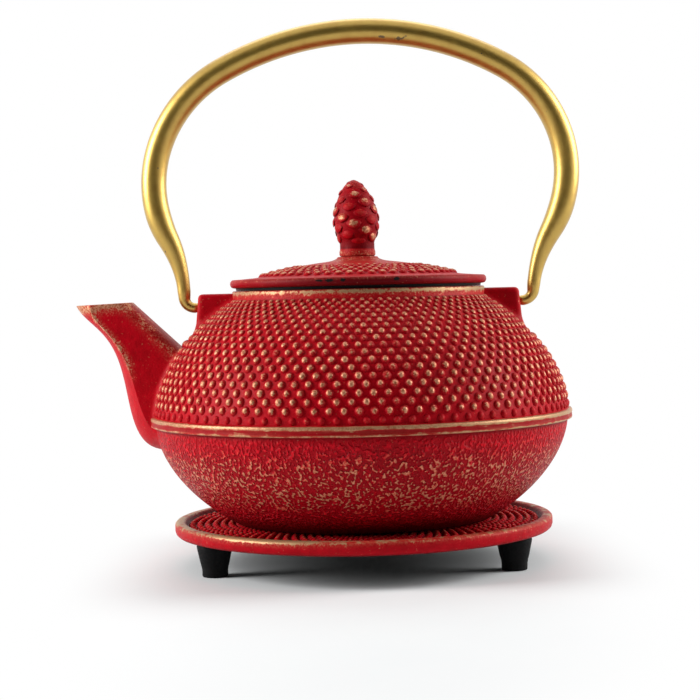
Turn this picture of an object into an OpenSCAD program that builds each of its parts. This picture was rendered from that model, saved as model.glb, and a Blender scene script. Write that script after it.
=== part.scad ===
// Cast iron teapot: bowl with its spout and ears, lid with a pine-cone knob, swinging bail,
// lift-out infuser and a three-footed trivet. Millimetres, +Z up, the floor is z = 0 and the spout
// points along -X. Every sub-part is drawn at its place in the assembled pot.

/* [Bowl] */
// Largest radius of the bowl, at the belt
belt_r = 78; // [70:0.5:86]
// Height of the belt's middle above the bowl's underside
belt_up = 38.1; // [36:0.1:42]
// Height of the belt's face
belt_h = 3.5; // [2:0.1:6]
// How far the belt stands out of the bowl
belt_out = 1.6; // [0.8:0.1:2.4]
// Height above the belt at which the upper dome would close
dome_h = 57.5; // [52:0.1:64]
// Fullness of the dome and of the lower bowl, 2 is an ellipse
fullness = 1.85; // [1.8:0.01:2]
// Depth below the belt at which the lower bowl would close
bowl_h = 50.7; // [48:0.1:54]
// Thickness of the cast wall
wall = 3.4; // [2.6:0.1:4.2]
// Height of the bowl's flat underside above the trivet's tray
base_up = 1.2; // [1.2:0.1:2.4]
// Radius of the flat underside
base_r = 46; // [40:0.5:48]

/* [Mouth] */
// Outer radius of the mouth's collar
collar_r = 46.8; // [45:0.1:48]
// Height of the collar above the dome it stands on
collar_h = 3.7; // [3:0.1:5]
// Width of the lip, from the collar's outside to the throat
lip_w = 9.2; // [8.8:0.1:9.8]
// Depth of the ledge that holds the infuser's rim
ledge_d = 1.2; // [1:0.1:1.4]

/* [Spout] */
// How far the spout's tip reaches out past the belt
spout_reach = 27; // [24:0.5:32]
// How far the spout's tip lies below the collar's top
spout_drop = 4; // [3:0.1:8]
// Length of the mouth's flat cut
spout_mouth = 20.9; // [19:0.1:22]
// Width of the spout at its root
spout_root_w = 31; // [26:0.5:34]
// Width of the spout at its mouth
spout_tip_w = 17; // [15:0.5:20]
// Wall thickness of the spout
spout_wall = 2.8; // [2.2:0.1:3.2]
// Radius of the hole from the bowl into the spout
spout_hole_r = 9; // [7:0.5:10]

/* [Ears and bail] */
// How far an ear's outer face stands out from the collar
ear_reach = 13.2; // [12.4:0.1:14]
// How far an ear's top lies below the collar's top
ear_drop = 0.8; // [0.4:0.1:1.4]
// Width of an ear across the pot
ear_w = 15; // [11:0.5:20]
// How much an ear's outer face leans inwards
ear_lean = 0.9; // [0:0.1:2]
// Radius of an ear's upper corner
ear_round = 2.2; // [1:0.1:3]
// Depth of the bail's hinge line below an ear's top
hinge_drop = 5; // [4.6:0.1:5.4]
// Radius of the bail's pins
pin_r = 1.75; // [1.4:0.05:2]
// Running clearance round a pin
pin_gap = 0.07; // [0.03:0.01:0.1]
// Gap between a pin's inner end and the dome
pin_end = 0.6; // [0.5:0.1:2]
// Distance from an ear's outer face to the middle of the bail's leg
leg_out = 4.8; // [4.8:0.1:7]
// Bend radius of the bail's elbows
elbow_r = 4; // [3.6:0.1:4.4]
// Height of the bail's centre line at its crown above the hinge line
bail_rise = 100.8; // [98:0.1:112]
// Radius of the bail tube at its crown
tube_r = 4.72; // [4.2:0.02:5.3]
// Radius of the bail where it comes down to the ears
leg_r = 2.45; // [2.1:0.05:2.9]
// Wall thickness of the bail tube
tube_wall = 1.2; // [0.8:0.1:1.6]
// How far the bail's crown sits off the centre line, towards the side away from the spout
bail_skew = 3.5; // [0:0.1:5]

/* [Lid and knob] */
// How far the lid's flange stands out past the collar
lid_over = 0.7; // [0.4:0.1:2]
// Gap between the lid and the collar
lid_gap = 0.3; // [0.2:0.05:0.6]
// Thickness of the lid
lid_t = 3; // [2.4:0.1:3.4]
// Rise of the lid's top above its flange
lid_rise = 7.5; // [6.4:0.1:9]
// Width of the lid's flat flange
flange_w = 10; // [8:0.1:11]
// Depth of the skirt that keeps the lid central
skirt_h = 6; // [4:0.1:8]
// Radius of the pad under the knob
pad_r = 8.5; // [8:0.1:10]
// Largest radius of the knob over its scales
knob_r = 8.6; // [7.6:0.1:9.4]
// Height of the knob above the pad
knob_h = 28.8; // [26:0.1:30]
// Number of scales on the knob
scales = 64; // [40:1:80]
// Radius of the knob's screw
screw_r = 2; // [1.5:0.1:2.2]

/* [Nails] */
// Nails in each row round the dome
dome_nails = 95; // [80:1:100]
// Rows of nails on the dome
nail_rows = 9; // [5:1:9]
// Radius of a nail where it leaves the casting
nail_r = 1.3; // [1:0.05:1.4]
// Height of a nail
nail_h = 0.9; // [0.6:0.05:0.95]
// Distance between the rings of nails on the lid and on the trivet
ring_pitch = 5.8; // [5.2:0.1:6.4]

/* [Infuser] */
// Depth of the basket below its rim
basket_h = 44.8; // [40:0.1:45.5]
// Thickness of the basket's sheet
sheet_t = 0.6; // [0.5:0.05:0.8]
// Radius of a hole in the basket
hole_r = 1.3; // [0.8:0.1:1.5]
// Rows of holes round the basket
hole_rows = 5; // [3:1:6]

/* [Trivet] */
// Outer radius of the trivet
trivet_r = 70; // [66:0.5:74]
// Thickness of the trivet at its rim
trivet_t = 5.2; // [4.7:0.1:6.5]
// Height of the trivet's underside, which is also the height of the feet
foot_h = 11.5; // [10.5:0.1:12]
// Width of the trivet's rim
rim_w = 4; // [3:0.1:6]
// Height of the tray above the trivet's underside
tray_t = 3.2; // [2.4:0.1:3.4]
// Radius of a foot at its top
foot_r = 6.4; // [5.6:0.1:7]
// Radius of a foot at the floor
toe_r = 4.6; // [4:0.1:5.4]
// Distance from the trivet's edge to the middle of a foot
foot_in = 8.5; // [8:0.1:14]
// Radius of the peg that holds a foot
peg_r = 2; // [1.5:0.1:2.5]

/* [Hidden] */
$fn = 96;
eps = 0.01;
red = [0.62, 0.02, 0.07];
brass = [0.62, 0.50, 0.22];
steel = [0.72, 0.72, 0.72];
rubber = [0.03, 0.03, 0.03];

trivet_z = foot_h + trivet_t;       // top of the trivet's rim
foot_at = trivet_r - foot_in;
base_z = foot_h + tray_t + base_up; // the bowl's flat underside
belt_z = base_z + belt_up;
bowl_r = belt_r - belt_out;         // the bowl itself, without the belt
collar_foot = height_at(collar_r, bowl_r, dome_h);
collar_z = round(10 * (collar_foot + collar_h)) / 10;
throat_r = collar_r - lip_w;        // opening below the infuser's ledge
spout_x = belt_r + spout_reach;
spout_z = collar_z - spout_drop;
ear_x = collar_r + ear_reach;
ear_z = collar_z - ear_drop;
hinge_z = ear_z - hinge_drop;
pin_x = outer_at(hinge_z - pin_r) + pin_end;
leg_x = ear_x + leg_out;
crown_z = hinge_z + bail_rise;
lid_r = collar_r + lid_over;
dome_r = lid_r - flange_w;          // edge of the lid's raised dome
lid_z = collar_z + lid_gap;         // underside of the lid's flange
lid_edge = lid_t - 0.2;             // height of the lid's flange
pad_z = lid_z + lid_edge + lid_rise + 1.2;  // top of the pad that the knob stands on
core_z = pad_z - 4.8;               // flat under the lid that the washer bears on
ledge_z = collar_z - ledge_d;       // the infuser's rim hangs over this
rim_z = ledge_z + 0.3;              // underside of the infuser's rim
basket_r = throat_r - 0.7;          // outside of the infuser's wall
rim_t = ledge_d - 0.4;              // thickness of the infuser's rim
seat_z = base_z - 0.3;              // the nail tops that carry the pot, taken as one raised seat
bore_r = pin_r + pin_gap;

// The bail's centre line: three arcs that turn down on each side, one that eases the leg back
// upright, and the elbow to the pin.
arc_1 = [106.8, 29.3];
arc_2 = [48, 43.3];
arc_3 = [44.2, 46.3];
arc_4 = [50.4, 26];
bail_hi = crown_z - hinge_z - elbow_r;   // height of the legs over the elbows

function turn(p, h, r, d) =           // where an arc from p with heading h ends
    p + r * [sin(h + d) - sin(h), -(cos(h) - cos(h + d))];
function back(p, h, r, d) =           // the same for an arc that bends the other way
    p + r * [sin(h) - sin(h - d), -(cos(h - d) - cos(h))];
h1 = arc_1[1];
h2 = h1 + arc_2[1];
h3 = h2 + arc_3[1];
h4 = h3 - arc_4[1];
q1 = turn([0, 0], 0, arc_1[0], h1);
q2 = turn(q1, h1, arc_2[0], arc_2[1]);
q3 = turn(q2, h2, arc_3[0], arc_3[1]);
q4 = back(q3, h3, arc_4[0], arc_4[1]);
fit_x = leg_x / q4[0];
fit_z = -bail_hi / q4[1];

// One side of the centre line as [x, z, tangent heading], crown first, n points to an arc
function side_path(n) = concat(
    [for (i = [0:n]) let (d = h1 * i / n) turn([0, 0], 0, arc_1[0], d)],
    [for (i = [1:n]) let (d = arc_2[1] * i / n) turn(q1, h1, arc_2[0], d)],
    [for (i = [1:n]) let (d = arc_3[1] * i / n) turn(q2, h2, arc_3[0], d)],
    [for (i = [1:n]) let (d = arc_4[1] * i / n) back(q3, h3, arc_4[0], d)]);
function elbow_path(n) =
    [for (i = [1:n]) let (a = 90 * i / n)
        [leg_x - elbow_r * (1 - cos(a)), hinge_z + elbow_r * (1 - sin(a))]];
function half_path(n, e) = concat(
    [for (p = side_path(n)) [p[0] * fit_x, crown_z + p[1] * fit_z]], e > 0 ? elbow_path(e) : []);
function skew(p) = [p[0] + bail_skew * (p[1] - hinge_z) / (crown_z - hinge_z), p[1]];
function whole_path(n, e) = let (h = half_path(n, e), k = len(h))
    concat([for (i = [k - 1:-1:1]) skew([-h[i][0], h[i][1]])], [for (p = h) skew(p)]);
// Radius of the tube at a height: full over the crown and slender where it reaches the ears
function tube_at(z) = let (t = min(1, max(0, (z - hinge_z) / (crown_z - hinge_z))))
    t < 0.06 ? pin_r + 0.12 + (leg_r - pin_r - 0.12) * t / 0.06
    : leg_r + (tube_r - leg_r) * ease((t - 0.06) / 0.29);
function ease(t) = let (u = min(1, max(0, t))) u * u * (3 - 2 * u);

// The frame's origin is under the middle of the whole part, so the pot's centre line is off it.
bail_far = max([for (p = whole_path(8, 0)) p[0] + tube_at(p[1])]);
axis_x = (spout_x - max(belt_r, bail_far)) / 2;

module placed() translate([axis_x, 0, 0]) children();

// Radius of the casting at a height
function bowl_at(z, r, up, down) = let (n = fullness, t = (z - belt_z) / (z > belt_z ? up : down))
    r * pow(max(0, 1 - pow(abs(t), n)), 1 / n);
function outer_at(z) = bowl_at(z, bowl_r, dome_h, bowl_h);
function inner_at(z) = bowl_at(z, bowl_r - wall, dome_h - wall, bowl_h - wall);
// Height at which a bowl of radius r and height up has the radius x
function height_at(x, r, up) = belt_z + up * pow(max(0, 1 - pow(x / r, fullness)), 1 / fullness);

throat_z = height_at(throat_r, bowl_r - wall, dome_h - wall);
heel_z = base_z + 2.1;
floor_z = base_z + wall + 0.4;

// A nail cast on a wall: a pyramid with its foot sunk into the wall
module nail(size) {
    sink = 0.4;
    foot = size * nail_r * (nail_h + sink) / nail_h;
    polyhedron(points = [[foot, 0, -sink], [0, foot, -sink], [-foot, 0, -sink], [0, -foot, -sink],
                         [0, 0, size * nail_h]],
        faces = [[0, 1, 2, 3], [1, 0, 4], [2, 1, 4], [3, 2, 4], [0, 3, 4]]);
}

// The way up the dome from the belt's middle, as pairs of distance along the casting and height
dome_run = [for (z = belt_z, s = 0; z <= collar_foot;
    s = s + norm([outer_at(z + 0.5) - outer_at(z), 0.5]), z = z + 0.5) [s, z]];
// Height of a row of nails: the rows crowd together towards the collar
function row_z(i) = lookup(6.8 + 6.1 * i - 0.23 * pow(max(0, i - 4), 2), dome_run);
// True where the spout or an ear covers the dome
function covered(x, y, z) =
    x < 0 && z < edge(0.54)[1] + 2
        && abs(y) < spout_w((z - belt_z) / (spout_z - belt_z)) / 2 + 1.5 * nail_r
    || z > hinge_z - 10.4 && abs(y) < ear_w / 2 + 1.4 * nail_r;

// Staggered rows of nails on the dome, which shrink towards the collar
module nails_on_dome() for (i = [0:nail_rows - 1], j = [0:dome_nails - 1]) {
    z = row_z(i);
    r = outer_at(z);
    lean = atan((outer_at(z - 0.1) - outer_at(z + 0.1)) / 0.2);
    a = -88.6 + 360 / dome_nails * (j + 0.5);
    if (!covered(r * cos(a), r * sin(a), z))
        rotate([0, 0, a]) translate([r, 0, z]) rotate([0, 90 - lean, 0])
            nail(1 - 0.27 * ease((i - 2) / 6));
}

// A ring of nails about as far apart as the rings are
module nail_ring(r, lean = 0) {
    n = round(2 * PI * r / ring_pitch);
    for (j = [0:n - 1])
        rotate([0, 0, 360 * j / n]) translate([r, 0, 0]) rotate([0, lean, 0]) nail(1);
}

// Outside of the casting as a solid of revolution
module bowl_outside() {
    n = 20;
    rotate_extrude()
        polygon(concat(
            [[0, base_z], [base_r, base_z], [base_r + 2.4, base_z + 0.7]],
            [for (i = [0:n]) let (z = heel_z + (belt_z - belt_h / 2 - heel_z) * i / n)
                [outer_at(z), z]],
            [[belt_r - 0.4, belt_z - belt_h / 2], [belt_r, belt_z - belt_h / 2 + 0.4],
             [belt_r, belt_z + belt_h / 2 - 0.4], [belt_r - 0.4, belt_z + belt_h / 2]],
            [for (i = [0:n]) let (z = belt_z + belt_h / 2 + (collar_foot - belt_z - belt_h / 2) * i / n)
                [outer_at(z), z]],
            [[collar_r, collar_z - 0.5], [collar_r - 0.5, collar_z], [0, collar_z]]));
}

// Room inside the casting, up to the ledge
module bowl_inside() {
    n = 20;
    rotate_extrude()
        polygon(concat(
            [[0, floor_z], [inner_at(floor_z + 1.6) - 2, floor_z]],
            [for (i = [0:n]) let (z = floor_z + 1.6 + (throat_z - floor_z - 1.6) * i / n)
                [inner_at(z), z]],
            [[throat_r, throat_z], [throat_r, ledge_z], [throat_r + 3.2, ledge_z],
             [throat_r + 3.2, collar_z + 1], [0, collar_z + 1]]));
}

// Iron bowl: one casting in the real pot with the spout and both ears
module pot_body() placed() color(red) difference() {
    union() {
        bowl_outside();
        nails_on_dome();
    }
    bowl_inside();
    translate([-belt_r - 2, 0, belt_z + 10]) rotate([0, 90, 0]) cylinder(h = 20, r = spout_hole_r);
}

// Curves of the spout in the plane of symmetry, root first
function bezier(p, t) = len(p) == 1 ? p[0]
    : bezier([for (i = [0:len(p) - 2]) p[i] * (1 - t) + p[i + 1] * t], t);
tip = [-spout_x, spout_z];
function nose(t) = bezier([[2.2 - belt_r, belt_z - 10.6], [-belt_r - 16.1, belt_z - 5.9],
    [-belt_r - 1.3, belt_z + 34.5], tip + [5.9, -12.2], tip], t);
function edge(t) = tip + [spout_mouth, 0.8] + (1 - t) * [39, -37.2];
function nose_depth(t) = let (u = min(1, max(0, t))) 2.7 + 5.5 * pow(1 - u, 2.2) + 3.8 * pow(u, 8);
function spout_w(t) = spout_tip_w + (spout_root_w - spout_tip_w) * pow(max(0, 1 - t), 1.25);

// One closed section of the spout, w thinner all round
function spout_ring(t, w, m = 8) =
    let (f = nose(t), b = edge(t), l = norm(b - f), u = (b - f) / l,
         y = spout_w(t) / 2 - w, d = max(0.8, nose_depth(t) * (y + 2) / (y + w + 2)), c = 1.4)
    concat(
        [for (i = [0:m]) let (k = -1 + 2 * i / m, s = w + d * k * k)
            [f[0] + u[0] * s, k * y, f[1] + u[1] * s]],
        [for (q = [[l - w - c, y], [l - w, y - c], [l - w, c - y], [l - w - c, -y]])
            [f[0] + u[0] * q[0], q[1], f[1] + u[1] * q[0]]]);

// Solid through closed rings of k points each
module loft(rings) {
    k = len(rings[0]);
    n = len(rings);
    polyhedron(points = [for (r = rings) each r],
        faces = concat(
            [[for (j = [k - 1:-1:0]) j]],
            [for (i = [0:n - 2], j = [0:k - 1])
                [(i + 1) * k + (j + 1) % k, (i + 1) * k + j, i * k + j]],
            [for (i = [0:n - 2], j = [0:k - 1])
                [i * k + (j + 1) % k, (i + 1) * k + (j + 1) % k, i * k + j]],
            [[for (j = [0:k - 1]) (n - 1) * k + j]]),
        convexity = 6);
}

// Pouring spout: flat flanks, a rounded nose and a level mouth
module spout() placed() color(red) difference() {
    loft([for (i = [-1:18]) spout_ring(i / 18, 0)]);
    loft([for (i = [3:19]) spout_ring(i / 18, spout_wall)]);
    bowl_outside();
}

// Ear: a block on the dome beside the collar, bored for the bail's pin
module ear(s) difference() {
    translate([0, ear_w / 2, 0]) rotate([90, 0, 0]) linear_extrude(height = ear_w)
        polygon([for (p = concat(
            [[s * (collar_r - 6), ear_z]],
            [for (a = [0:15:90]) [s * (ear_x - ear_lean - ear_round * (1 - sin(a))), ear_z - ear_round * (1 - cos(a))]],
            [[s * ear_x, hinge_z - 6.4], [s * (ear_x + 0.2), hinge_z - 9.4],
             [s * (collar_r - 6), hinge_z - 9.4]])) p]);
    bowl_outside();
    translate([s * (collar_r - 7), 0, hinge_z]) rotate([0, s * 90, 0])
        cylinder(h = ear_reach + 8, r = bore_r);
}
module spout_side_ear() placed() color(red) ear(-1);
module rear_ear() placed() color(red) ear(1);

// Swinging bail: a bent tube, slender at its ends, with a pin into each ear
function tube_rings(p, w, k) = [for (i = [0:len(p) - 1])
    let (a = p[max(0, i - 1)], b = p[min(len(p) - 1, i + 1)], t = (b - a) / norm(b - a),
         r = tube_at(p[i][1]) - w)
    [for (j = [0:k - 1]) let (c = 360 * j / k)
        [p[i][0] - t[1] * r * cos(c), r * sin(c), p[i][1] + t[0] * r * cos(c)]]];
function bail_run(n, e) = let (w = whole_path(n, e))
    concat([[-leg_x + elbow_r + 0.01, hinge_z]], [for (i = [1:len(w) - 2]) w[i]],
           [[leg_x - elbow_r - 0.01, hinge_z]]);
module bail_handle() placed() color(brass) {
    difference() {
        loft(tube_rings(bail_run(8, 6), 0, 20));
        loft(tube_rings([for (p = whole_path(8, 0)) if (p[1] > crown_z - 0.774 * bail_rise) p], tube_wall, 12));
    }
    for (s = [-1, 1]) translate([s * pin_x, 0, hinge_z]) rotate([0, s * 90, 0])
        cylinder(h = leg_x - elbow_r - pin_x + 0.3, r = pin_r);
}

// Lid: a shallow dome with a flange, a locating skirt and a pad for the knob
function lid_top(r) = lid_z + lid_edge + 0.6 + (lid_rise - 0.6) * (1 - pow(r / dome_r, 2));
skirt_r = basket_r - sheet_t - 0.9;
module lid() placed() color(red) difference() {
    union() {
        lid_plate();
        for (i = [0:2]) let (r = dome_r - 2.2 - ring_pitch * i)
            translate([0, 0, lid_top(r)]) nail_ring(r, atan(2 * (lid_rise - 0.6) * r / pow(dome_r, 2)));
    }
    translate([0, 0, core_z - 5]) cylinder(h = 20, r = screw_r + 0.2);
}
module lid_plate() {
    n = 14;
    rotate_extrude() polygon(concat(
        [[0, core_z], [6, core_z], [6, lid_top(6) - lid_t]],
        [for (i = [1:n]) let (r = 6 + (skirt_r - 3.6 - 6) * i / n) [r, lid_top(r) - lid_t]],
        [[skirt_r - 2.6, lid_z], [skirt_r - 2.4, lid_z - skirt_h], [skirt_r - 0.4, lid_z - skirt_h],
         [skirt_r, lid_z - skirt_h + 0.6], [skirt_r, lid_z], [lid_r - 0.9, lid_z]],
        [for (a = [-75:25:75]) [lid_r - 1 + cos(a), lid_z + lid_edge / 2 + (lid_edge / 2) * sin(a)]],
        [[lid_r - 2, lid_z + lid_edge]],
        [for (i = [0:n]) let (r = dome_r - (dome_r - pad_r - 1.2) * i / n) [r, lid_top(r)]],
        [[pad_r, lid_top(pad_r) + 0.5], [pad_r - 0.3, pad_z - 0.3], [pad_r - 0.8, pad_z], [0, pad_z]]));
}

// Pine-cone knob: a foot, a slim neck and an egg clad with lozenge scales in a spiral
egg_z = 13;                        // height of the egg's widest place over the pad
function egg_at(z) = z < egg_z
    ? (knob_r - 1.1) * pow(1 - pow((egg_z - z) / 14, 2), 0.5)
    : (knob_r - 1.1) * pow(max(0, 1 - pow((z - egg_z) / (knob_h - egg_z - 0.8), 1.65)), 1 / 1.65);
module knob_scale(i) {
    t = (i + 0.5) / scales;
    z = 4.6 + (knob_h - 6.4) * pow(t, 1.0);
    r = egg_at(z);
    lean = atan2(egg_at(z - 0.4) - egg_at(z + 0.4), 0.8);
    size = 1.5 + 1.1 * r / knob_r;
    rotate([0, 0, 137.508 * i]) translate([r - 0.7, 0, z]) rotate([0, 90 - lean - 18, 0])
        rotate([0, 0, 0]) cylinder(h = 1.9, r1 = size, r2 = size * 0.32, $fn = 4);
}
module lid_knob() placed() translate([0, 0, pad_z]) color(red) difference() {
    union() {
        rotate_extrude() polygon(concat(
            [[0, 0], [6.3, 0], [6.7, 0.5], [6.7, 2.2], [6, 2.9], [5.6, 3.6]],
            [for (i = [0:6]) let (z = 4 + (egg_z - 4) * i / 6) [egg_at(z), z]],
            [for (i = [1:9]) let (z = egg_z + (knob_h - 0.8 - egg_z) * sin(90 * i / 10)) [egg_at(z), z]],
            [[0, knob_h - 0.8]]));
        for (i = [0:scales - 1]) knob_scale(i);
        translate([0, 0, knob_h - 2.6]) cylinder(h = 2.6, r1 = 2, r2 = 0.5);
    }
    translate([0, 0, -1]) cylinder(h = 10, r = screw_r);
}

// Fixing of the knob: a washer and a slotted screw under the lid
module knob_washer() placed() color(steel) translate([0, 0, core_z - 1]) difference() {
    cylinder(h = 1, r = 5.2);
    translate([0, 0, -1]) cylinder(h = 3, r = screw_r + 0.2);
}
module knob_screw() placed() color(steel) difference() {
    union() {
        translate([0, 0, core_z - 3]) cylinder(h = 2, r = 3.6);
        translate([0, 0, core_z - 1.5]) cylinder(h = pad_z + 8.5 - core_z + 1.5, r = screw_r);
    }
    translate([-5, -0.5, core_z - 4]) cube([10, 1, 2]);
}

// Infuser: a stainless basket that hangs in the mouth by its rim
module infuser_rim() placed() color(steel) translate([0, 0, rim_z]) difference() {
    cylinder(h = rim_t, r = throat_r + 2.8);
    translate([0, 0, -1]) cylinder(h = rim_t + 2, r = basket_r - sheet_t);
}
module infuser_wall() placed() color(steel) translate([0, 0, rim_z - basket_h]) difference() {
    cylinder(h = basket_h, r = basket_r);
    translate([0, 0, -1]) cylinder(h = basket_h + 2, r = basket_r - sheet_t);
    for (i = [0:hole_rows - 1], j = [0:17]) rotate([0, 0, 20 * j + 10 * (i % 2)])
        translate([basket_r - 2, 0, 6 + (basket_h - 16) * i / (hole_rows - 1)]) rotate([0, 90, 0])
            cylinder(h = 4, r = hole_r, $fn = 24);
}
module infuser_base() placed() color(steel) translate([0, 0, rim_z - basket_h - sheet_t])
    difference() {
        cylinder(h = sheet_t, r = basket_r);
        for (k = [1:3], j = [0:6 * k - 1])
            rotate([0, 0, 60 * j / k + 10 * k]) translate([9.5 * k, 0, -1])
                cylinder(h = sheet_t + 2, r = hole_r, $fn = 24);
    }

// Trivet: a low iron tray with a rim, carried by three pegged feet
function foot_pos(i) = foot_at * [cos(90 + 120 * i), sin(90 + 120 * i)];
module trivet() placed() color(red) {
    rotate_extrude() polygon([[0, foot_h], [trivet_r - 2.4, foot_h], [trivet_r - 0.5, foot_h + 0.9],
        [trivet_r, foot_h + 1.9], [trivet_r, trivet_z - 1], [trivet_r - 0.6, trivet_z - 0.3],
        [trivet_r - 1.5, trivet_z], [trivet_r - rim_w + 0.8, trivet_z], [trivet_r - rim_w, trivet_z - 0.5],
        [trivet_r - rim_w - 0.5, foot_h + tray_t], [base_r - 1, foot_h + tray_t],
        [base_r - 1.6, seat_z], [0, seat_z]]);
    for (i = [0:2]) translate([0, 0, foot_h + tray_t])
        nail_ring(trivet_r - rim_w - 2.4 - ring_pitch * i);
    for (i = [0:2]) translate([foot_pos(i)[0], foot_pos(i)[1], foot_h - 7])
        cylinder(h = 7 + tray_t / 2, r = peg_r);
}
module foot(i) translate([foot_pos(i)[0], foot_pos(i)[1], 0]) difference() {
    rotate_extrude() polygon([[0, 0], [toe_r - 0.3, 0], [toe_r, 0.3], [toe_r, 2.6],
        [toe_r + 0.35 * (foot_r - toe_r), 5], [foot_r, foot_h - 1], [foot_r, foot_h], [0, foot_h]]);
    translate([0, 0, foot_h - 7]) cylinder(h = 8, r = peg_r);
}
module trivet_foot_1() placed() color(rubber) foot(0);
module trivet_foot_2() placed() color(rubber) foot(1);
module trivet_foot_3() placed() color(rubber) foot(2);

pot_body();
spout();
spout_side_ear();
rear_ear();
lid();
lid_knob();
knob_washer();
knob_screw();
bail_handle();
infuser_rim();
infuser_wall();
infuser_base();
trivet();
trivet_foot_1();
trivet_foot_2();
trivet_foot_3();
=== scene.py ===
"""The looks of a cast iron teapot on its trivet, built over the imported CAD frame."""

from itertools import product
from math import atan2, cos, degrees, exp, hypot, pi, radians, sin, sqrt
from types import SimpleNamespace

import bmesh
import bpy
import numpy as np
from bpy.props import FloatProperty, FloatVectorProperty, IntProperty, PointerProperty
from mathutils import Matrix, Vector


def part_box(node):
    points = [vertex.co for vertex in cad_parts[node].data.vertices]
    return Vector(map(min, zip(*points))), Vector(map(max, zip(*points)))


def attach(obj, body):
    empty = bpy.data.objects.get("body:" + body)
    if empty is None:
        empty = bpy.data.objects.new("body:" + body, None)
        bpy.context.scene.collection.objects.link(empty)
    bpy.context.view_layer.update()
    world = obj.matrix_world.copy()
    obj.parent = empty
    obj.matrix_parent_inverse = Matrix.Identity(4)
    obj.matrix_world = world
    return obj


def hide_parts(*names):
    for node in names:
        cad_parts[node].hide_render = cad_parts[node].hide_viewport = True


bl_info = {
    "name": "Cast iron teapot",
    "version": (1, 0, 0),
    "blender": (4, 5, 0),
    "location": "View3D > Sidebar > Teapot",
    "description": "Dresses a cast iron teapot with a hobnail dome, a bail and a trivet",
    "category": "Mesh",
}

MM = 0.001
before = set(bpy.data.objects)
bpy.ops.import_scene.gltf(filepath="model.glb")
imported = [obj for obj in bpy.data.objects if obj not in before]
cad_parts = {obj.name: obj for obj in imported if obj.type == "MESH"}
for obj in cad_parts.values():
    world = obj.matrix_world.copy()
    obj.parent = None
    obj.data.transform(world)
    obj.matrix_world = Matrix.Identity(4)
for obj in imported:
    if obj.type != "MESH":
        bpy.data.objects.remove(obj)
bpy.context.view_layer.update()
AXIS_X = (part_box("lid")[0][0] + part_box("lid")[1][0]) / 2  # the pot's centre line


def span(label, value, text):
    """A length in a property group, given in millimetres."""
    return FloatProperty(
        name=label, description=text, default=value * MM, precision=5, unit="LENGTH", subtype="DISTANCE"
    )


def ratio(label, value, text):
    return FloatProperty(name=label, description=text, default=value, precision=3)


def count(label, value, text):
    return IntProperty(name=label, description=text, default=value)


def tint(label, value, text):
    """A colour in a property group, given as sRGB from 0 to 255."""
    linear = [(v / 255 / 12.92) if v < 10.3 else ((v / 255 + 0.055) / 1.055) ** 2.4 for v in value]
    return FloatVectorProperty(
        name=label, description=text, default=(*linear, 1.0), size=4, min=0.0, max=1.0, subtype="COLOR"
    )


# ---------------------------------------------------------------- sizes and colours


class TeapotBowl(bpy.types.PropertyGroup):
    belt_r: span("Belt radius", 78, "Largest radius of the bowl, at the belt")
    belt_z: span("Belt height", 54, "Height of the belt's middle")
    belt_h: span("Belt width", 3.5, "Height of the belt's face")
    belt_out: span("Belt relief", 1.6, "How far the belt stands out of the bowl")
    dome_h: span("Dome height", 57.5, "Height over the belt at which the dome would close")
    bowl_h: span("Bowl depth", 50.7, "Depth under the belt at which the bowl would close")
    fullness: ratio("Fullness", 1.85, "Fullness of the profile, 2 is an ellipse")
    wall: span("Wall", 3.4, "Thickness of the cast wall")
    base_z: span("Underside", 15.9, "Height of the bowl's flat underside")
    base_r: span("Underside radius", 46, "Radius of the flat underside")
    collar_r: span("Collar radius", 46.8, "Outer radius of the mouth's collar")
    collar_z: span("Collar top", 101.2, "Height of the collar's top")
    throat_r: span("Throat radius", 37.6, "Radius of the mouth under the infuser's ledge")
    ledge_z: span("Ledge height", 100, "Height of the ledge that carries the infuser")
    nails: count("Nails in a row", 95, "Nails in each row round the dome")
    nail_r: span("Nail radius", 1.65, "Radius of a nail's foot near the belt")
    nail_h: span("Nail height", 1.25, "Height of a nail near the belt")


class TeapotSpout(bpy.types.PropertyGroup):
    tip_x: span("Reach", 105, "Distance from the centre line to the spout's tip")
    tip_z: span("Tip height", 97.2, "Height of the spout's tip")
    mouth: span("Mouth length", 20.9, "Length of the mouth's level cut")
    root_w: span("Root width", 31, "Width of the spout at its root")
    tip_w: span("Tip width", 17, "Width of the spout at its mouth")
    wall: span("Wall", 2.8, "Wall thickness of the spout")
    hole_r: span("Hole radius", 9, "Radius of the hole from the bowl into the spout")
    fillet: span("Fillet", 2.0, "Radius of the fillet where the spout leaves the bowl")


class TeapotBail(bpy.types.PropertyGroup):
    ear_x: span("Ear reach", 60, "Distance from the centre line to an ear's outer face")
    ear_z: span("Ear top", 100.4, "Height of an ear's top")
    ear_w: span("Ear width", 15, "Width of an ear across the pot")
    ear_lean: span("Ear lean", 0.9, "How much an ear's outer face leans inwards")
    hinge_z: span("Hinge height", 95.4, "Height of the bail's hinge line")
    pin_r: span("Pin radius", 1.75, "Radius of the bail's pins")
    pin_gap: span("Pin clearance", 0.07, "Running clearance round a pin")
    pin_x: span("Pin end", 52.96, "Distance from the centre line to a pin's inner end")
    leg_x: span("Leg distance", 64.8, "Distance from the centre line to a leg over the ear")
    elbow_r: span("Elbow radius", 4, "Bend radius of the elbows")
    crown_z: span("Crown height", 196.2, "Height of the centre line at the crown")
    tube_r: span("Tube radius", 4.68, "Radius of the tube at the crown")
    leg_r: span("Leg radius", 2.45, "Radius of the tube where it reaches the ears")
    skew: span("Skew", 3.5, "How far the crown sits off the centre line")


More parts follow.
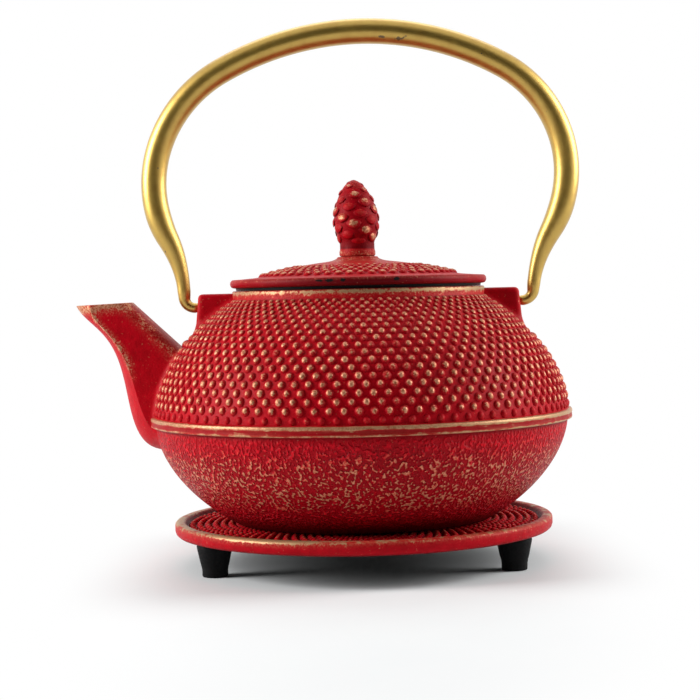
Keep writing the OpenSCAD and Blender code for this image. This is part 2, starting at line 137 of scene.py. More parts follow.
class TeapotLid(bpy.types.PropertyGroup):
    lid_r: span("Flange radius", 47.5, "Radius of the lid's flange")
    lid_z: span("Flange underside", 101.5, "Height of the flange's underside")
    edge: span("Flange top", 3.85, "Height of the flange's top over its seat")
    lip: span("Lip", 0.75, "How far the flange's rim stands over its seat")
    thick: span("Lid thickness", 3, "Thickness of the lid's dome")
    rise: span("Rise", 6.45, "Rise of the lid's top over its flange")
    dome_r: span("Dome radius", 37.5, "Radius of the raised dome")
    skirt_r: span("Skirt radius", 35.4, "Outer radius of the locating skirt")
    skirt_h: span("Skirt depth", 6, "Depth of the locating skirt")
    pad_r: span("Pad radius", 7.5, "Radius of the pad under the knob")
    pad_z: span("Pad height", 113, "Height of the pad's top")
    core_z: span("Washer seat", 108.2, "Height of the flat under the lid that the washer bears on")
    hole_r: span("Screw hole", 2.2, "Radius of the hole for the knob's screw")
    nails: count("Nails in a ring", 57, "Nails in each ring on the lid")
    nail_r: span("Nail radius", 1.78, "Radius of a nail's foot on the lid")
    nail_h: span("Nail height", 1.18, "Height of a nail on the lid")
    knob_r: span("Knob radius", 8.6, "Largest radius of the knob over its scales")
    knob_h: span("Knob height", 28.8, "Height of the knob over the pad")
    scales: count("Scales", 44, "Number of scales on the knob")
    scale_r: span("Scale size", 3.0, "Half width of a scale at the knob's widest place")
    lean: span("Knob lean", 0.9, "How far the knob's tip leans towards the spout")


class TeapotTrivet(bpy.types.PropertyGroup):
    trivet_r: span("Radius", 70, "Outer radius of the trivet")
    top_z: span("Rim height", 16.7, "Height of the rim's top")
    foot_h: span("Foot height", 11.5, "Height of the trivet's underside")
    rim_w: span("Rim width", 4, "Width of the rim")
    tray_z: span("Tray height", 14.7, "Height of the tray between the nails")
    nails: count("Nails in a ring", 95, "Nails in each of the outer rings")
    nail_r: span("Nail radius", 1.5, "Radius of a nail's foot on the tray")
    nail_h: span("Nail height", 1.2, "Height of a nail on the tray")
    pitch: span("Ring pitch", 2.9, "Distance between the rings of nails")
    foot_at: span("Foot distance", 61.5, "Distance from the centre line to a foot")
    foot_r: span("Foot radius", 6.4, "Radius of a foot at its top")
    toe_r: span("Toe radius", 4.6, "Radius of a foot at the floor")
    peg_r: span("Peg radius", 2, "Radius of the peg that holds a foot")


class TeapotFinish(bpy.types.PropertyGroup):
    red: tint("Red", (190, 3, 24), "The red paint where it is thick")
    # painted highlight: a lighter red laid on the ridges of the lower bowl's relief, standing in for light
    # on them
    bright: tint("Bright red", (236, 20, 40), "The red paint on the ridges of the relief")
    crimson: tint("Crimson", (150, 0, 13), "The red paint where it is thin and in hollows")
    # painted shade: this darker red is laid in the relief's hollows and wherever the hollow field darkens
    # the paint
    deep: tint("Deep red", (88, 0, 8), "The red paint in the hollows of the relief")
    gilt: tint("Gold", (217, 158, 124), "The gold paint rubbed on raised places")
    khaki: tint("Flat gold", (172, 150, 108), "Gold rubbed thin over broad rims")
    gilt_dark: tint("Dull gold", (158, 105, 68), "The gold paint where it is thin")
    brass: tint("Brass", (192, 158, 74), "The satin brass of the bail")
    brass_dark: tint("Brown brass", (178, 139, 60), "The brass where it is worn")
    scuff: tint("Scuff", (48, 36, 18), "Scuffs on the bail")
    # also the painted black shadow in the gap under the lid's lip
    iron: tint("Iron", (20, 18, 18), "Bare iron in chips")
    enamel: tint("Enamel", (30, 30, 31), "The enamel inside the pot")
    steel: tint("Steel", (196, 196, 194), "The infuser's stainless steel")
    rubber: tint("Rubber", (4, 4, 5), "The feet")
    relief: span("Relief", 0.95, "Depth of the vein-like relief on the lower bowl")
    grain: span("Grain", 0.1, "Depth of the casting's fine grain")


class TeapotStage(bpy.types.PropertyGroup):
    away: span("Camera distance", 646.6, "Distance of the camera from the centre line")
    height: span("Camera height", 100.3, "Height of the camera")
    side: span("Camera offset", -0.05, "Sideways offset of the camera from the centre line")
    lens: ratio("Lens", 89.45, "Focal length in millimetres on a 36 mm sensor")
    pitch: ratio("Pitch", 1.941, "How far the camera looks down, in degrees")
    yaw: ratio("Yaw", -0.316, "How far the camera looks to the right, in degrees")
    roll: ratio("Roll", 1.365, "Roll of the camera, in degrees")
    left: ratio("Left lamp", 5.3, "Power of the soft lamp at the spout's side, in watts")
    right: ratio("Right lamp", 4.2, "Power of the soft lamp at the other side, in watts")
    top: ratio("Top lamp", 1.7, "Power of the soft lamp overhead, in watts")
    sky: ratio("Surroundings", 0.35, "Strength of the light from all round")


# ---------------------------------------------------------------- mesh helpers


def settings_of(group):
    """The names of the group's own properties."""
    return [key for key in group.bl_rna.properties.keys() if key not in ("rna_type", "name")]


def sizes(*names):
    """The values of the scene's groups, with every length in millimetres."""
    found = []
    for name in names:
        group = getattr(bpy.context.scene, "teapot_" + name)
        values = {}
        for key in settings_of(group):
            value = getattr(group, key)
            length = getattr(group.bl_rna.properties[key], "unit", "") == "LENGTH"
            values[key] = value / MM if length else value
        found.append(SimpleNamespace(**values))
    return found


def in_scene(name, data):
    """A new object in the scene."""
    piece = bpy.data.objects.new(name, data)
    bpy.context.scene.collection.objects.link(piece)
    return piece


def placed(points):
    """Places in metres from points in millimetres about the pot's centre line."""
    places = np.asarray(points, dtype=float) * MM
    places[:, 0] += AXIS_X
    return places.tolist()


def give(mesh, key, values, kind="FLOAT"):
    """Puts a field of values, or of vectors, on the mesh's points."""
    layer = mesh.attributes.new(key, kind, "POINT")
    part = "value" if kind == "FLOAT" else "vector"
    layer.data.foreach_set(part, np.asarray(values, dtype=np.float32).ravel())


def new_piece(name, points, faces, finishes=(), marks=None, fields=None, sharp=40, outward=False):
    """A mesh object from points in millimetres about the pot's centre line."""
    mesh = bpy.data.meshes.new(name)
    mesh.from_pydata(placed(points), [], faces)
    for key in finishes:
        mesh.materials.append(finish(key))
    if marks is not None:
        mesh.polygons.foreach_set("material_index", marks)
    for key, values in (fields or {}).items():
        give(mesh, key, values)
    if outward:
        bm = bmesh.new()
        bm.from_mesh(mesh)
        bmesh.ops.remove_doubles(bm, verts=bm.verts, dist=1e-7)
        bmesh.ops.recalc_face_normals(bm, faces=bm.faces)
        bm.to_mesh(mesh)
        bm.free()
    smooth(mesh, sharp)
    return in_scene(name, mesh)


def smooth(mesh, sharp):
    """Shades the mesh smooth, up to edges that are sharper than so many degrees."""
    mesh.polygons.foreach_set("use_smooth", [True] * len(mesh.polygons))
    mesh.set_sharp_from_angle(angle=radians(sharp))
    mesh.validate()
    mesh.update()


def settle(piece):
    """Turns the piece's modifiers into plain mesh."""
    graph = bpy.context.evaluated_depsgraph_get()
    mesh = bpy.data.meshes.new_from_object(
        piece.evaluated_get(graph), preserve_all_data_layers=True, depsgraph=graph
    )
    old = piece.data
    piece.modifiers.clear()
    piece.data = mesh
    mesh.name = piece.name
    bpy.data.meshes.remove(old)


class Profile(list):
    """Rows of a turned piece as (radius, height, {field: value}, mark), placed from a corner."""

    corner = (0.0, 0.0)

    def at(self, radius, height):
        """Moves the corner."""
        self.corner = (radius, height)
        return self

    def add(self, out, up, mark=0, **fields):
        self.append((self.corner[0] + out, self.corner[1] + up, fields, mark))

    def run(self, *steps, mark=0, **fields):
        for out, up in steps:
            self.add(out, up, mark, **fields)


def turned(
    name, rows, steps, finishes, ring=False, centre=(0.0, 0.0), sharp=40, round_about=None, bend=None
):
    """A piece turned from a profile, closed on itself if it is a ring.

    round_about holds, for a field, its share at an angle round the axis, in degrees.
    bend moves each point of the turned piece.
    """
    angles = [2 * pi * j / steps for j in range(steps)]
    points, lines, owner = [], [], []
    for r, z, fields, _ in rows:
        first = len(points)
        if r < 1e-6:
            points.append((*centre, z))
        else:
            points += [(centre[0] + r * cos(a), centre[1] + r * sin(a), z) for a in angles]
        lines.append(range(first, len(points)))
        owner += [fields] * (len(points) - first)
    faces, marks = [], []
    for i in range(len(rows) if ring else len(rows) - 1):
        low, high = lines[i], lines[(i + 1) % len(lines)]
        for j in range(steps):
            k = (j + 1) % steps
            if len(low) == 1:
                faces.append((low[0], high[k], high[j]))
            elif len(high) == 1:
                faces.append((low[j], low[k], high[0]))
            else:
                faces.append((low[j], low[k], high[k], high[j]))
            marks.append(rows[i][3])
    spread = {}
    for key in sorted({key for row in rows for key in row[2]}):
        spread[key] = [fields.get(key, 0.0) for fields in owner]
        share = (round_about or {}).get(key)
        if share:
            around = [share(degrees(atan2(p[1], p[0]))) for p in points]
            spread[key] = [v * part for v, part in zip(spread[key], around)]
    if bend:
        points = [bend(*p) for p in points]
    return new_piece(name, points, faces, finishes, marks, spread, sharp)


def tube(rings, closed=False):
    """Faces of a tube through rings of equal length, closed on itself or capped at both ends."""
    k = len(rings[0])
    n = len(rings)
    faces = [] if closed else [tuple(range(k))[::-1]]
    for i in range(n if closed else n - 1):
        for j in range(k):
            m, after = (j + 1) % k, (i + 1) % n
            faces.append((i * k + j, i * k + m, after * k + m, after * k + j))
    if not closed:
        faces.append(tuple((n - 1) * k + j for j in range(k)))
    return faces


def rod(name, start, axis, length, radius, sides, mark=0):
    """A plain rod that serves to cut a bore. Its place is in millimetres about the centre line."""
    start, axis = Vector(start), Vector(axis).normalized()
    side = axis.orthogonal().normalized()
    other = axis.cross(side)
    points = []
    for s in (0, length):
        for j in range(sides):
            a = 2 * pi * j / sides
            points.append(tuple(start + axis * s + radius * (side * cos(a) + other * sin(a))))
    faces = tube([points[:sides], points[sides:]])
    return new_piece(name, points, faces, (), [mark] * len(faces), outward=True)


def cut(piece, tool, sharp):
    """Takes the tool out of the piece."""
    for material in piece.data.materials:
        tool.data.materials.append(material)
    knife = piece.modifiers.new("bore", "BOOLEAN")
    knife.object = tool
    knife.operation = "DIFFERENCE"
    knife.solver = "EXACT"
    settle(piece)
    bpy.data.objects.remove(tool)
    smooth(piece.data, sharp)


def fit(piece, body, slot, *nodes):
    """Hangs a finished piece on its body and hides the CAD nodes that it stands for."""
    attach(piece, body)
    if nodes:
        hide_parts(*nodes)


def ease(t):
    t = min(1.0, max(0.0, t))
    return t * t * (3 - 2 * t)


def hump(angle, middle, width):
    """1 at the middle of a stretch round the axis and 0 well outside it, in degrees."""
    off = (angle - middle + 180) % 360 - 180
    return exp(-((off / width) ** 2))


def slope_of(curve, at, reach=0.2):
    return (curve(at + reach) - curve(at - reach)) / (2 * reach)


# ---------------------------------------------------------------- the pot's curves


def casting_r(z, b, inset=0.0):
    """Radius of the casting's outside at the height z, or of a surface so far inside it."""
    t = abs(z - b.belt_z) / ((b.dome_h if z > b.belt_z else b.bowl_h) - inset)
    return (b.belt_r - b.belt_out - inset) * max(0.0, 1 - t**b.fullness) ** (1 / b.fullness)


def dome_z(r, b, inset=0.0):
    """Height at which the dome, or a surface so far inside it, has the radius r."""
    t = r / (b.belt_r - b.belt_out - inset)
    return b.belt_z + (b.dome_h - inset) * max(0.0, 1 - t**b.fullness) ** (1 / b.fullness)


def clear_of_bowl(p, b):
    """Distance of a point from the bowl's surface, negative inside, and the way out of the bowl there."""
    r = hypot(p.x, p.y)
    slope = slope_of(lambda z: casting_r(z, b), p.z, 0.1)
    out = Vector((p.x / r, p.y / r, -slope)).normalized()
    return (r - casting_r(p.z, b)) / hypot(1, slope), out


def flare(d, radius):
    """How far a wall leans out into a fillet at the distance d from the surface it stands on."""
    if d >= radius:
        return 0.0
    k = radius - max(0.0, d)
    return radius - sqrt(max(0.0, radius * radius - k * k))


def bezier(points, t):
    points = [Vector(p) for p in points]
    while len(points) > 1:
        points = [a.lerp(c, t) for a, c in zip(points[:-1], points[1:])]
    return points[0]


def spout_line(t, s, b):
    """The spout's nose and back at t, how far apart they are and the way from one to the other."""
    tip = Vector((-s.tip_x, s.tip_z))
    root = [
        (2.2 - b.belt_r, b.belt_z - 10.6),
        (-b.belt_r - 16.1, b.belt_z - 5.9),
        (-b.belt_r - 1.3, b.belt_z + 34.5),
    ]
    nose = bezier([*root, tip + Vector((5.9, -12.2)), tip], t)
    back = tip + Vector((s.mouth, 0.8)) + (1 - t) * Vector((39, -37.2))
    long = (back - nose).length
    return nose, back, long, (back - nose) / long


def spout_width(t, s):
    return s.tip_w + (s.root_w - s.tip_w) * max(0.0, 1 - t) ** 1.25


def spout_section(t, inset, s, b):
    """One closed section of the spout as (point, place along the section) pairs, nose first."""
    nose, _, long, u = spout_line(t, s, b)
    half = spout_width(t, s) / 2 - inset
    near = min(1.0, max(0.0, t))
    depth = 2.7 + 5.5 * (1 - near) ** 2.2 + 3.8 * near**8
    deep = max(0.8, depth * (half + 2) / (half + inset + 2))
    flank = inset + deep
    bend = max(0.8, 4.2 - inset)
    stop = long - inset - bend
    front = [(inset + deep * k * k, k * half, abs(k)) for k in (i / 8 - 1 for i in range(17))]
    side = [(flank + (stop - flank) * i / 9, half, 1.0 + i / 9) for i in range(1, 9)]
    for turn in (0, 16, 32, 48, 64, 77):
        a = radians(turn)
        side.append((stop + bend * sin(a), half * cos(a) ** 0.7, 2.0 + degrees(a) / 180))
    other = [(a, -y, k) for a, y, k in reversed(side)]
    section = front + side + [(long - inset, 0.0, 2.5)] + other
    return [(Vector((nose.x + u.x * a, y, nose.y + u.y * a)), k) for a, y, k in section]


def under_spout(x, y, z, s, b, room):
    """True if a point of the dome is covered by the spout's root or its fillet."""
    if x > -30:
        return False
    p = Vector((x, z))
    lines = []
    for i in range(-3, 40):
        nose, _, long, u = spout_line(i / 39, s, b)
        off = abs((p - nose).x * u.y - (p - nose).y * u.x)
        lines.append((off, (p - nose).dot(u), long, spout_width(i / 39, s) / 2))
    _, along, long, half = min(lines)
    return -room < along < long + room and abs(y) < half + room


# ---------------------------------------------------------------- finishes


class Wire:
    """A node's output, from which plain arithmetic makes further nodes."""

    def __init__(self, wires, socket):
        self.wires = wires
        self.socket = socket

    def __add__(self, other):
        return self.wires.math("ADD", self, other)

    def __sub__(self, other):
        return self.wires.math("SUBTRACT", self, other)

    def __rsub__(self, other):
        return self.wires.math("SUBTRACT", other, self)

    def __mul__(self, other):
        return self.wires.math("MULTIPLY", self, other)


class Wires:
    """Shorthand for making and joining nodes."""

    def __init__(self, tree):
        self.tree = tree
        tree.nodes.clear()

    def add(self, kind, inputs=None, **settings):
        """A node with its inputs joined or set, given by the socket's name or number."""
        node = self.tree.nodes.new(kind)
        for key, value in settings.items():
            setattr(node, key, value)
        for key, value in (inputs or {}).items():
            if isinstance(value, Wire):
                self.tree.links.new(value.socket, node.inputs[key])
            else:
                node.inputs[key].default_value = value
        return node

    def wire(self, kind, inputs=None, out=0, **settings):
        return Wire(self, self.add(kind, inputs, **settings).outputs[out])

    def math(self, op, *values):
        return self.wire("ShaderNodeMath", dict(enumerate(values)), operation=op)

    def most(self, first, *others):
        for other in others:
            first = self.math("MAXIMUM", first, other)
        return first

    def vector(self, op, *values):
        return self.wire("ShaderNodeVectorMath", dict(enumerate(values)), operation=op)

    def length(self, vector):
        return self.wire("ShaderNodeVectorMath", {0: vector}, "Value", operation="LENGTH")

    def noise(self, where, scale, detail=2.0, rough=0.5):
        inputs = {"Vector": where, "Scale": scale, "Detail": detail, "Roughness": rough}
        return self.wire("ShaderNodeTexNoise", inputs)

    def step(self, value, low, high, a=0.0, b=1.0):
        inputs = {"Value": value, "From Min": low, "From Max": high, "To Min": a, "To Max": b}
        return self.wire("ShaderNodeMapRange", inputs, interpolation_type="SMOOTHSTEP")

    def blend(self, share, a, b):
        return self.wire("ShaderNodeMix", {0: share, 6: a, 7: b}, 2, data_type="RGBA", clamp_factor=True)

    def lerp(self, share, a, b):
        return self.wire("ShaderNodeMix", {0: share, 2: a, 3: b}, data_type="FLOAT", clamp_factor=True)

    def field(self, name):
        return self.wire("ShaderNodeAttribute", None, "Fac", attribute_name=name, attribute_type="GEOMETRY")

    def place(self, scale=None):
        here = self.wire("ShaderNodeTexCoord", None, "Object")
        return self.wire("ShaderNodeMapping", {"Vector": here, "Scale": scale}) if scale else here

    def bump(self, height, depth):
        return self.wire("ShaderNodeBump", {"Strength": 1.0, "Distance": depth, "Height": height})


def node_material(name):
    material = bpy.data.materials.new(name)
    material.use_nodes = True
    return material, Wires(material.node_tree)


def finish(name):
    """One of the finishes, made once and then shared, with the colour that stands for it in a solid view."""
    material = bpy.data.materials.get(name)
    if material is None:
        make, shade = FINISHES[name]
        colours = bpy.context.scene.teapot_finish
        material, w = node_material(name)
        shader = w.wire("ShaderNodeBsdfPrincipled", make(w, colours))
        w.add("ShaderNodeOutputMaterial", {"Surface": shader})
        material.diffuse_color = getattr(colours, shade)
    return material


# Chips in the red paint on the lid's edge as (angle, half width, half height), in degrees and millimetres.
CHIPS = ((-106.5, 1.1, 0.38), (-102.0, 1.3, 0.48), (-96.4, 0.7, 0.6), (-73.6, 0.8, 0.62))
CHIP_IN = 0.3  # how far inside the flange's edge the chips lie
CHIP_DOWN = 1.2  # how far under the flange's top they lie

# Scuffs on the front of the bail's crown as (distance from the axis, height, size), in millimetres.
SCUFFS = ((10.8, 193.4, 0.8), (17.0, 192.7, 1.0), (19.8, 193.5, 0.6), (-66.5, 152.0, 0.4))
SCUFF_Y = -3.5


def red_paint(w, f):
    """Satin red paint on cast iron with gold paint rubbed on what stands proud, painted shade in hollows and
    painted highlights on the relief's ridges.
    """
    here = w.place()
    # the hollow field holds painted shade: recesses, nail feet, undersides and the lid's front are darkened
    fields = ("gild", "relief", "dust", "streak", "hollow", "olive")
    gild, relief, dust, streak, painted_shade, olive = (w.field(key) for key in fields)
    fine = w.noise(here, 1500, 3, 0.6)
    middle = w.noise(here, 330, 2)
    wide = w.noise(here, 48, 2)
    streaky = w.noise(w.place((120, 120, 1300)), 1.0, 3, 0.6)

    # short crooked ridges on the lower bowl, longer upwards than sideways
    wave = w.noise(w.place((1000, 1000, 700)), 1.0, 0.4, 0.4)
    vein = w.step(wave, 0.42, 0.66)

    # gold: on the caps of what stands proud, as a haze round them, on the ridges and in specks
    speckle = w.lerp(streak, fine, streaky)
    rubbed = gild + (speckle - 0.5) + (middle - 0.5)
    cap = w.step(rubbed, 0.36, 0.68) * w.step(gild, 0.04, 0.12)
    haze = w.step(gild, 0.05, 0.6, 0.0, 0.4) * w.step(speckle, 0.3, 0.7)
    patch = w.step(w.noise(here, 110, 2), 0.36, 0.6, 0.78, 1.0)
    ridge = w.step(wave, 0.46, 0.66) + (fine - 0.5) * 0.8 + (patch - 1.0)
    ridge = ridge - w.step(dust, 1.0, 0.0, 0.0, 0.55)
    top = w.step(ridge, 0.4, 0.95, 0.0, 0.85) * w.step(dust, 0.02, 0.2)
    speck = w.step(w.noise(here, 1250, 1, 0.4), 0.7, 0.78, 0.0, 0.3)
    gold = w.most(cap, haze, top, speck) * 0.86

    red = w.blend(w.step(middle, 0.3, 0.7, 0.25, 0.75), f.crimson, f.red)
    red = w.blend(w.step(wide, 0.35, 0.65, 0.0, 0.3), red, f.red)
    red = w.blend(w.step(fine, 0.55, 0.3, 0.0, 0.35), red, f.crimson)
    # painted shade: the relief's hollows darkened towards deep red
    red = w.blend(w.step(vein, 0.45, 0.0) * (relief * 0.3), red, f.deep)
    # painted shade: the hollow field darkens the red towards deep red
    red = w.blend(painted_shade * 0.9, red, f.deep)
    # painted shadow: past 1 the hollow field turns the paint near black, in the gap under the lid's lip
    red = w.blend(w.step(painted_shade, 1.1, 2.0), red, f.iron)
    # painted highlight: the relief's ridges turn lighter red
    red = w.blend(relief * vein * 0.6, red, f.bright)
    gilt = w.blend(w.step(fine, 0.35, 0.65), f.gilt_dark, f.gilt)
    gilt = w.blend(olive * w.step(middle, 0.3, 0.6, 0.6, 1.0), gilt, f.khaki)

    (lid,) = sizes("lid")
    chips = []
    for angle, half, tall in CHIPS:
        a = radians(angle)
        r = lid.lid_r - CHIP_IN
        spot = (AXIS_X + r * cos(a) * MM, r * sin(a) * MM, (lid.lid_z + lid.edge - CHIP_DOWN) * MM)
        shape = (0.8 / half / MM, 0.3 / tall / MM, 0.8 / tall / MM)
        off = w.vector("MULTIPLY", w.vector("SUBTRACT", here, spot), shape)
        chips.append(w.step(w.length(off) + (fine - 0.5) * 1.6, 1.05, 0.8))
    height = vein * relief * f.relief + fine * f.grain + middle * (1.2 * f.grain)
    return {
        "Base Color": w.blend(w.most(*chips), w.blend(gold, red, gilt), f.iron),
        "Metallic": gold * 0.42,
        "Roughness": w.lerp(gold, w.step(fine, 0.3, 0.7, 0.4, 0.54), 0.36),
        "Specular IOR Level": 0.08,
        "Normal": w.bump(height, 1.0),
    }


def dark_enamel(w, f):
    """The thin black enamel inside the pot and under the lid."""
    here = w.place()
    cloud = w.noise(here, 60, 3)
    return {
        "Base Color": w.blend(w.step(cloud, 0.35, 0.7, 0.0, 0.5), f.enamel, f.iron),
        "Roughness": w.step(cloud, 0.3, 0.7, 0.24, 0.4),
        "Normal": w.bump(w.noise(here, 420, 2), 0.12 * MM),
    }


def satin_brass(w, f):
    """Satin brass-coloured lacquer on the bail, with fine scuffs and a few chips."""
    here = w.place()
    fine = w.noise(here, 1700, 3, 0.6)
    scuff = w.noise(w.place((150, 1500, 150)), 1.0, 3, 0.6)
    worn = w.step(w.noise(here, 240, 3), 0.42, 0.7, 0.0, 0.5)
    chip = w.step(w.noise(here, 520, 1) + w.noise(here, 70, 1) * 0.55, 1.1, 1.14)
    ragged = w.noise(here, 900, 2) - 0.5
    for x, z, r in SCUFFS:
        off = w.vector("SUBTRACT", here, (AXIS_X + x * MM, SCUFF_Y * MM, z * MM))
        gap = w.length(w.vector("MULTIPLY", off, (0.5, 0.6, 1.5))) + ragged * (2.6 * r * MM)
        chip = w.most(chip, w.step(gap, r * MM, 0.7 * r * MM, 0.0, 0.8))
    return {
        "Base Color": w.blend(chip, w.blend(worn, f.brass, f.brass_dark), f.scuff),
        "Metallic": 0.92 - chip * 0.8,
        "Roughness": w.step(fine, 0.3, 0.7, 0.34, 0.41) + w.step(scuff, 0.5, 0.8, 0.0, 0.08),
        "Coat Weight": 0.6,
        "Coat Roughness": 0.28,
        "Normal": w.bump(fine + scuff, 0.005 * MM),
    }


def brushed_steel(w, f):
    """Brushed stainless sheet, its scratches running round."""
    lines = w.noise(w.place((90, 90, 2600)), 1.0, 4, 0.65)
    cloud = w.noise(w.place(), 130, 2)
    return {
        "Base Color": w.blend(w.step(cloud, 0.3, 0.7, 0.0, 0.35), f.steel, (0.3, 0.3, 0.3, 1.0)),
        "Metallic": 1.0,
        "Roughness": w.step(lines, 0.3, 0.7, 0.22, 0.38),
        "Normal": w.bump(lines, 0.02 * MM),
    }


def matt_rubber(w, f):
    """Matt black rubber with a dusty, finely pitted skin."""
    here = w.place()
    pits = w.noise(here, 1300, 3)
    dust = w.step(w.noise(here, 160, 3), 0.5, 0.8, 0.0, 0.3)
    return {
        "Base Color": w.blend(dust, f.rubber, (0.008, 0.008, 0.009, 1.0)),
        "Roughness": w.step(pits, 0.3, 0.7, 0.55, 0.75),
        "Specular IOR Level": 0.14,
        "Normal": w.bump(pits, 0.06 * MM),
    }


FINISHES = {
    "red_painted_iron": (red_paint, "red"),
    "black_enamel": (dark_enamel, "enamel"),
    "satin_brass": (satin_brass, "brass"),
    "brushed_steel": (brushed_steel, "steel"),
    "matt_rubber": (matt_rubber, "rubber"),
}
RED = ("red_painted_iron",)
RED_AND_ENAMEL = ("red_painted_iron", "black_enamel")


# ---------------------------------------------------------------- rows of studs


# A stud's look unless its rows say otherwise: named inputs of the geometry nodes.
STUD_LOOK = {
    "Stretch": 1.0,
    "Lozenge": 0.0,
    "Taper": 1.7,
    "Gilding From": 0.72,
    # Dark Foot: how far a stud's foot is darkened, a painted shade
    "Dark Foot": 0.45,
    "Unevenness": 0.06,
}


def stud_tree():
    """Geometry nodes that stand a rounded stud on every point, along the point's own lean."""
    tree = bpy.data.node_groups.get("stud_rows")
    if tree:
        return tree
    tree = bpy.data.node_groups.new("stud_rows", "GeometryNodeTree")
    floats = dict.fromkeys(("Radius", "Height", *STUD_LOOK), "Float")
    kinds = {"Points": "Geometry", **floats, "Seed": "Int", "Material": "Material"}
    for name, kind in kinds.items():
        tree.interface.new_socket(name=name, in_out="INPUT", socket_type="NodeSocket" + kind)
    tree.interface.new_socket(name="Studs", in_out="OUTPUT", socket_type="NodeSocketGeometry")
    w = Wires(tree)
    given = {socket.name: Wire(w, socket) for socket in w.add("NodeGroupInput").outputs}

    def store(geometry, name, value, domain="POINT"):
        inputs = {"Geometry": geometry, "Name": name, "Value": value}
        return w.wire("GeometryNodeStoreNamedAttribute", inputs, data_type="FLOAT", domain=domain)

    def named(name, kind="FLOAT"):
        return w.wire("GeometryNodeInputNamedAttribute", {"Name": name}, "Attribute", data_type=kind)

    def luck(low, high, seed):
        return w.wire("FunctionNodeRandomValue", {2: low, 3: high, "Seed": seed}, 1, data_type="FLOAT")

    ball = w.wire("GeometryNodeMeshUVSphere", {"Segments": 8, "Rings": 6, "Radius": 1.0}, "Mesh")
    parts = w.add("ShaderNodeSeparateXYZ", {0: w.wire("GeometryNodeInputPosition")}).outputs
    x, y, z = (Wire(w, part) for part in parts)
    ball = store(ball, "gild", w.step(z, given["Gilding From"], 1.0))
    # painted shade: each stud darker towards its foot
    ball = store(ball, "hollow", w.step(z, 0.0, 0.75, given["Dark Foot"], 0.0))
    corner = w.most(w.math("ABSOLUTE", x) + w.math("ABSOLUTE", y), 0.001)
    diamond = w.math("DIVIDE", w.math("SQRT", x * x + y * y), corner)
    wide = w.lerp(given["Lozenge"], 1.0, diamond) * given["Radius"]
    bell = w.math("POWER", w.most(z, 0.0), given["Taper"]) + w.math("MINIMUM", z, 0.0) * 0.3
    places = {0: x * wide, 1: y * wide * given["Stretch"], 2: bell * given["Height"]}
    shape = {"Geometry": ball, "Position": w.wire("ShaderNodeCombineXYZ", places)}
    lean = {"Vector": named("lean", "FLOAT_VECTOR")}
    turn = {
        "Rotation": w.wire("FunctionNodeAlignRotationToVector", lean, axis="Z"),
        "Vector": named("upward", "FLOAT_VECTOR"),
    }
    uneven, seed = given["Unevenness"], given["Seed"]
    rows = {
        "Points": given["Points"],
        "Instance": w.wire("GeometryNodeSetPosition", shape),
        "Rotation": w.wire("FunctionNodeAlignRotationToVector", turn, axis="Y", pivot_axis="Z"),
        "Scale": named("size") * luck(1.0 - uneven, uneven + 1.0, seed),
    }
    made = w.wire("GeometryNodeInstanceOnPoints", rows)
    made = store(made, "chance", luck(0.72, 1.2, seed + 7), "INSTANCE")
    made = w.wire("GeometryNodeRealizeInstances", {0: made})
    made = store(made, "gild", named("gild") * (named("rub") * named("chance")))
    made = w.wire("GeometryNodeSetMaterial", {"Geometry": made, "Material": given["Material"]})
    w.add("NodeGroupOutput", {0: w.wire("GeometryNodeSetShadeSmooth", {"Geometry": made})})
    return tree


def studs(name, spots, radius, height, seed, **look):
    """Studs on spots of (point, lean, upward, size, rub), in millimetres about the centre line."""
    if not spots:
        raise RuntimeError(f"{name}: no places for the studs")
    points, *fields = zip(*spots)
    mesh = bpy.data.meshes.new(name)
    mesh.from_pydata(placed(points), [], [])
    kinds = {"lean": "FLOAT_VECTOR", "upward": "FLOAT_VECTOR", "size": "FLOAT", "rub": "FLOAT"}
    for (key, kind), values in zip(kinds.items(), fields):
        give(mesh, key, values, kind)
    piece = in_scene(name, mesh)
    rows = piece.modifiers.new("stud rows", "NODES")
    rows.node_group = stud_tree()
    values = {**STUD_LOOK, **look, "Radius": radius * MM, "Height": height * MM, "Seed": seed}
    values["Material"] = finish("red_painted_iron")
    for item in rows.node_group.interface.items_tree:
        if item.in_out == "INPUT" and item.name in values:
            rows[item.identifier] = values[item.name]
    settle(piece)
    for key in (*kinds, "chance"):
        layer = piece.data.attributes.get(key)
        if layer:
            piece.data.attributes.remove(layer)
    return piece


def ring_angles(number, ring):
    """Angles round a ring of studs, staggered against the next ring."""
    return [2 * pi * (j + 0.5 * (ring % 2)) / number for j in range(number)]


def wall_spot(place, a, slope, sink, size, rub, tilt=0.0):
    """A spot on a wall at the angle a that goes out by slope as it goes up, for studs()."""
    out = Vector((cos(a), sin(a), -slope)).normalized()
    up = Vector((cos(a) * slope, sin(a) * slope, 1.0)).normalized()
    if tilt:
        out = (out + up * tilt).normalized()
    return tuple(Vector(place) - out * sink), tuple(out), tuple(up), size, rub


# ---------------------------------------------------------------- operators


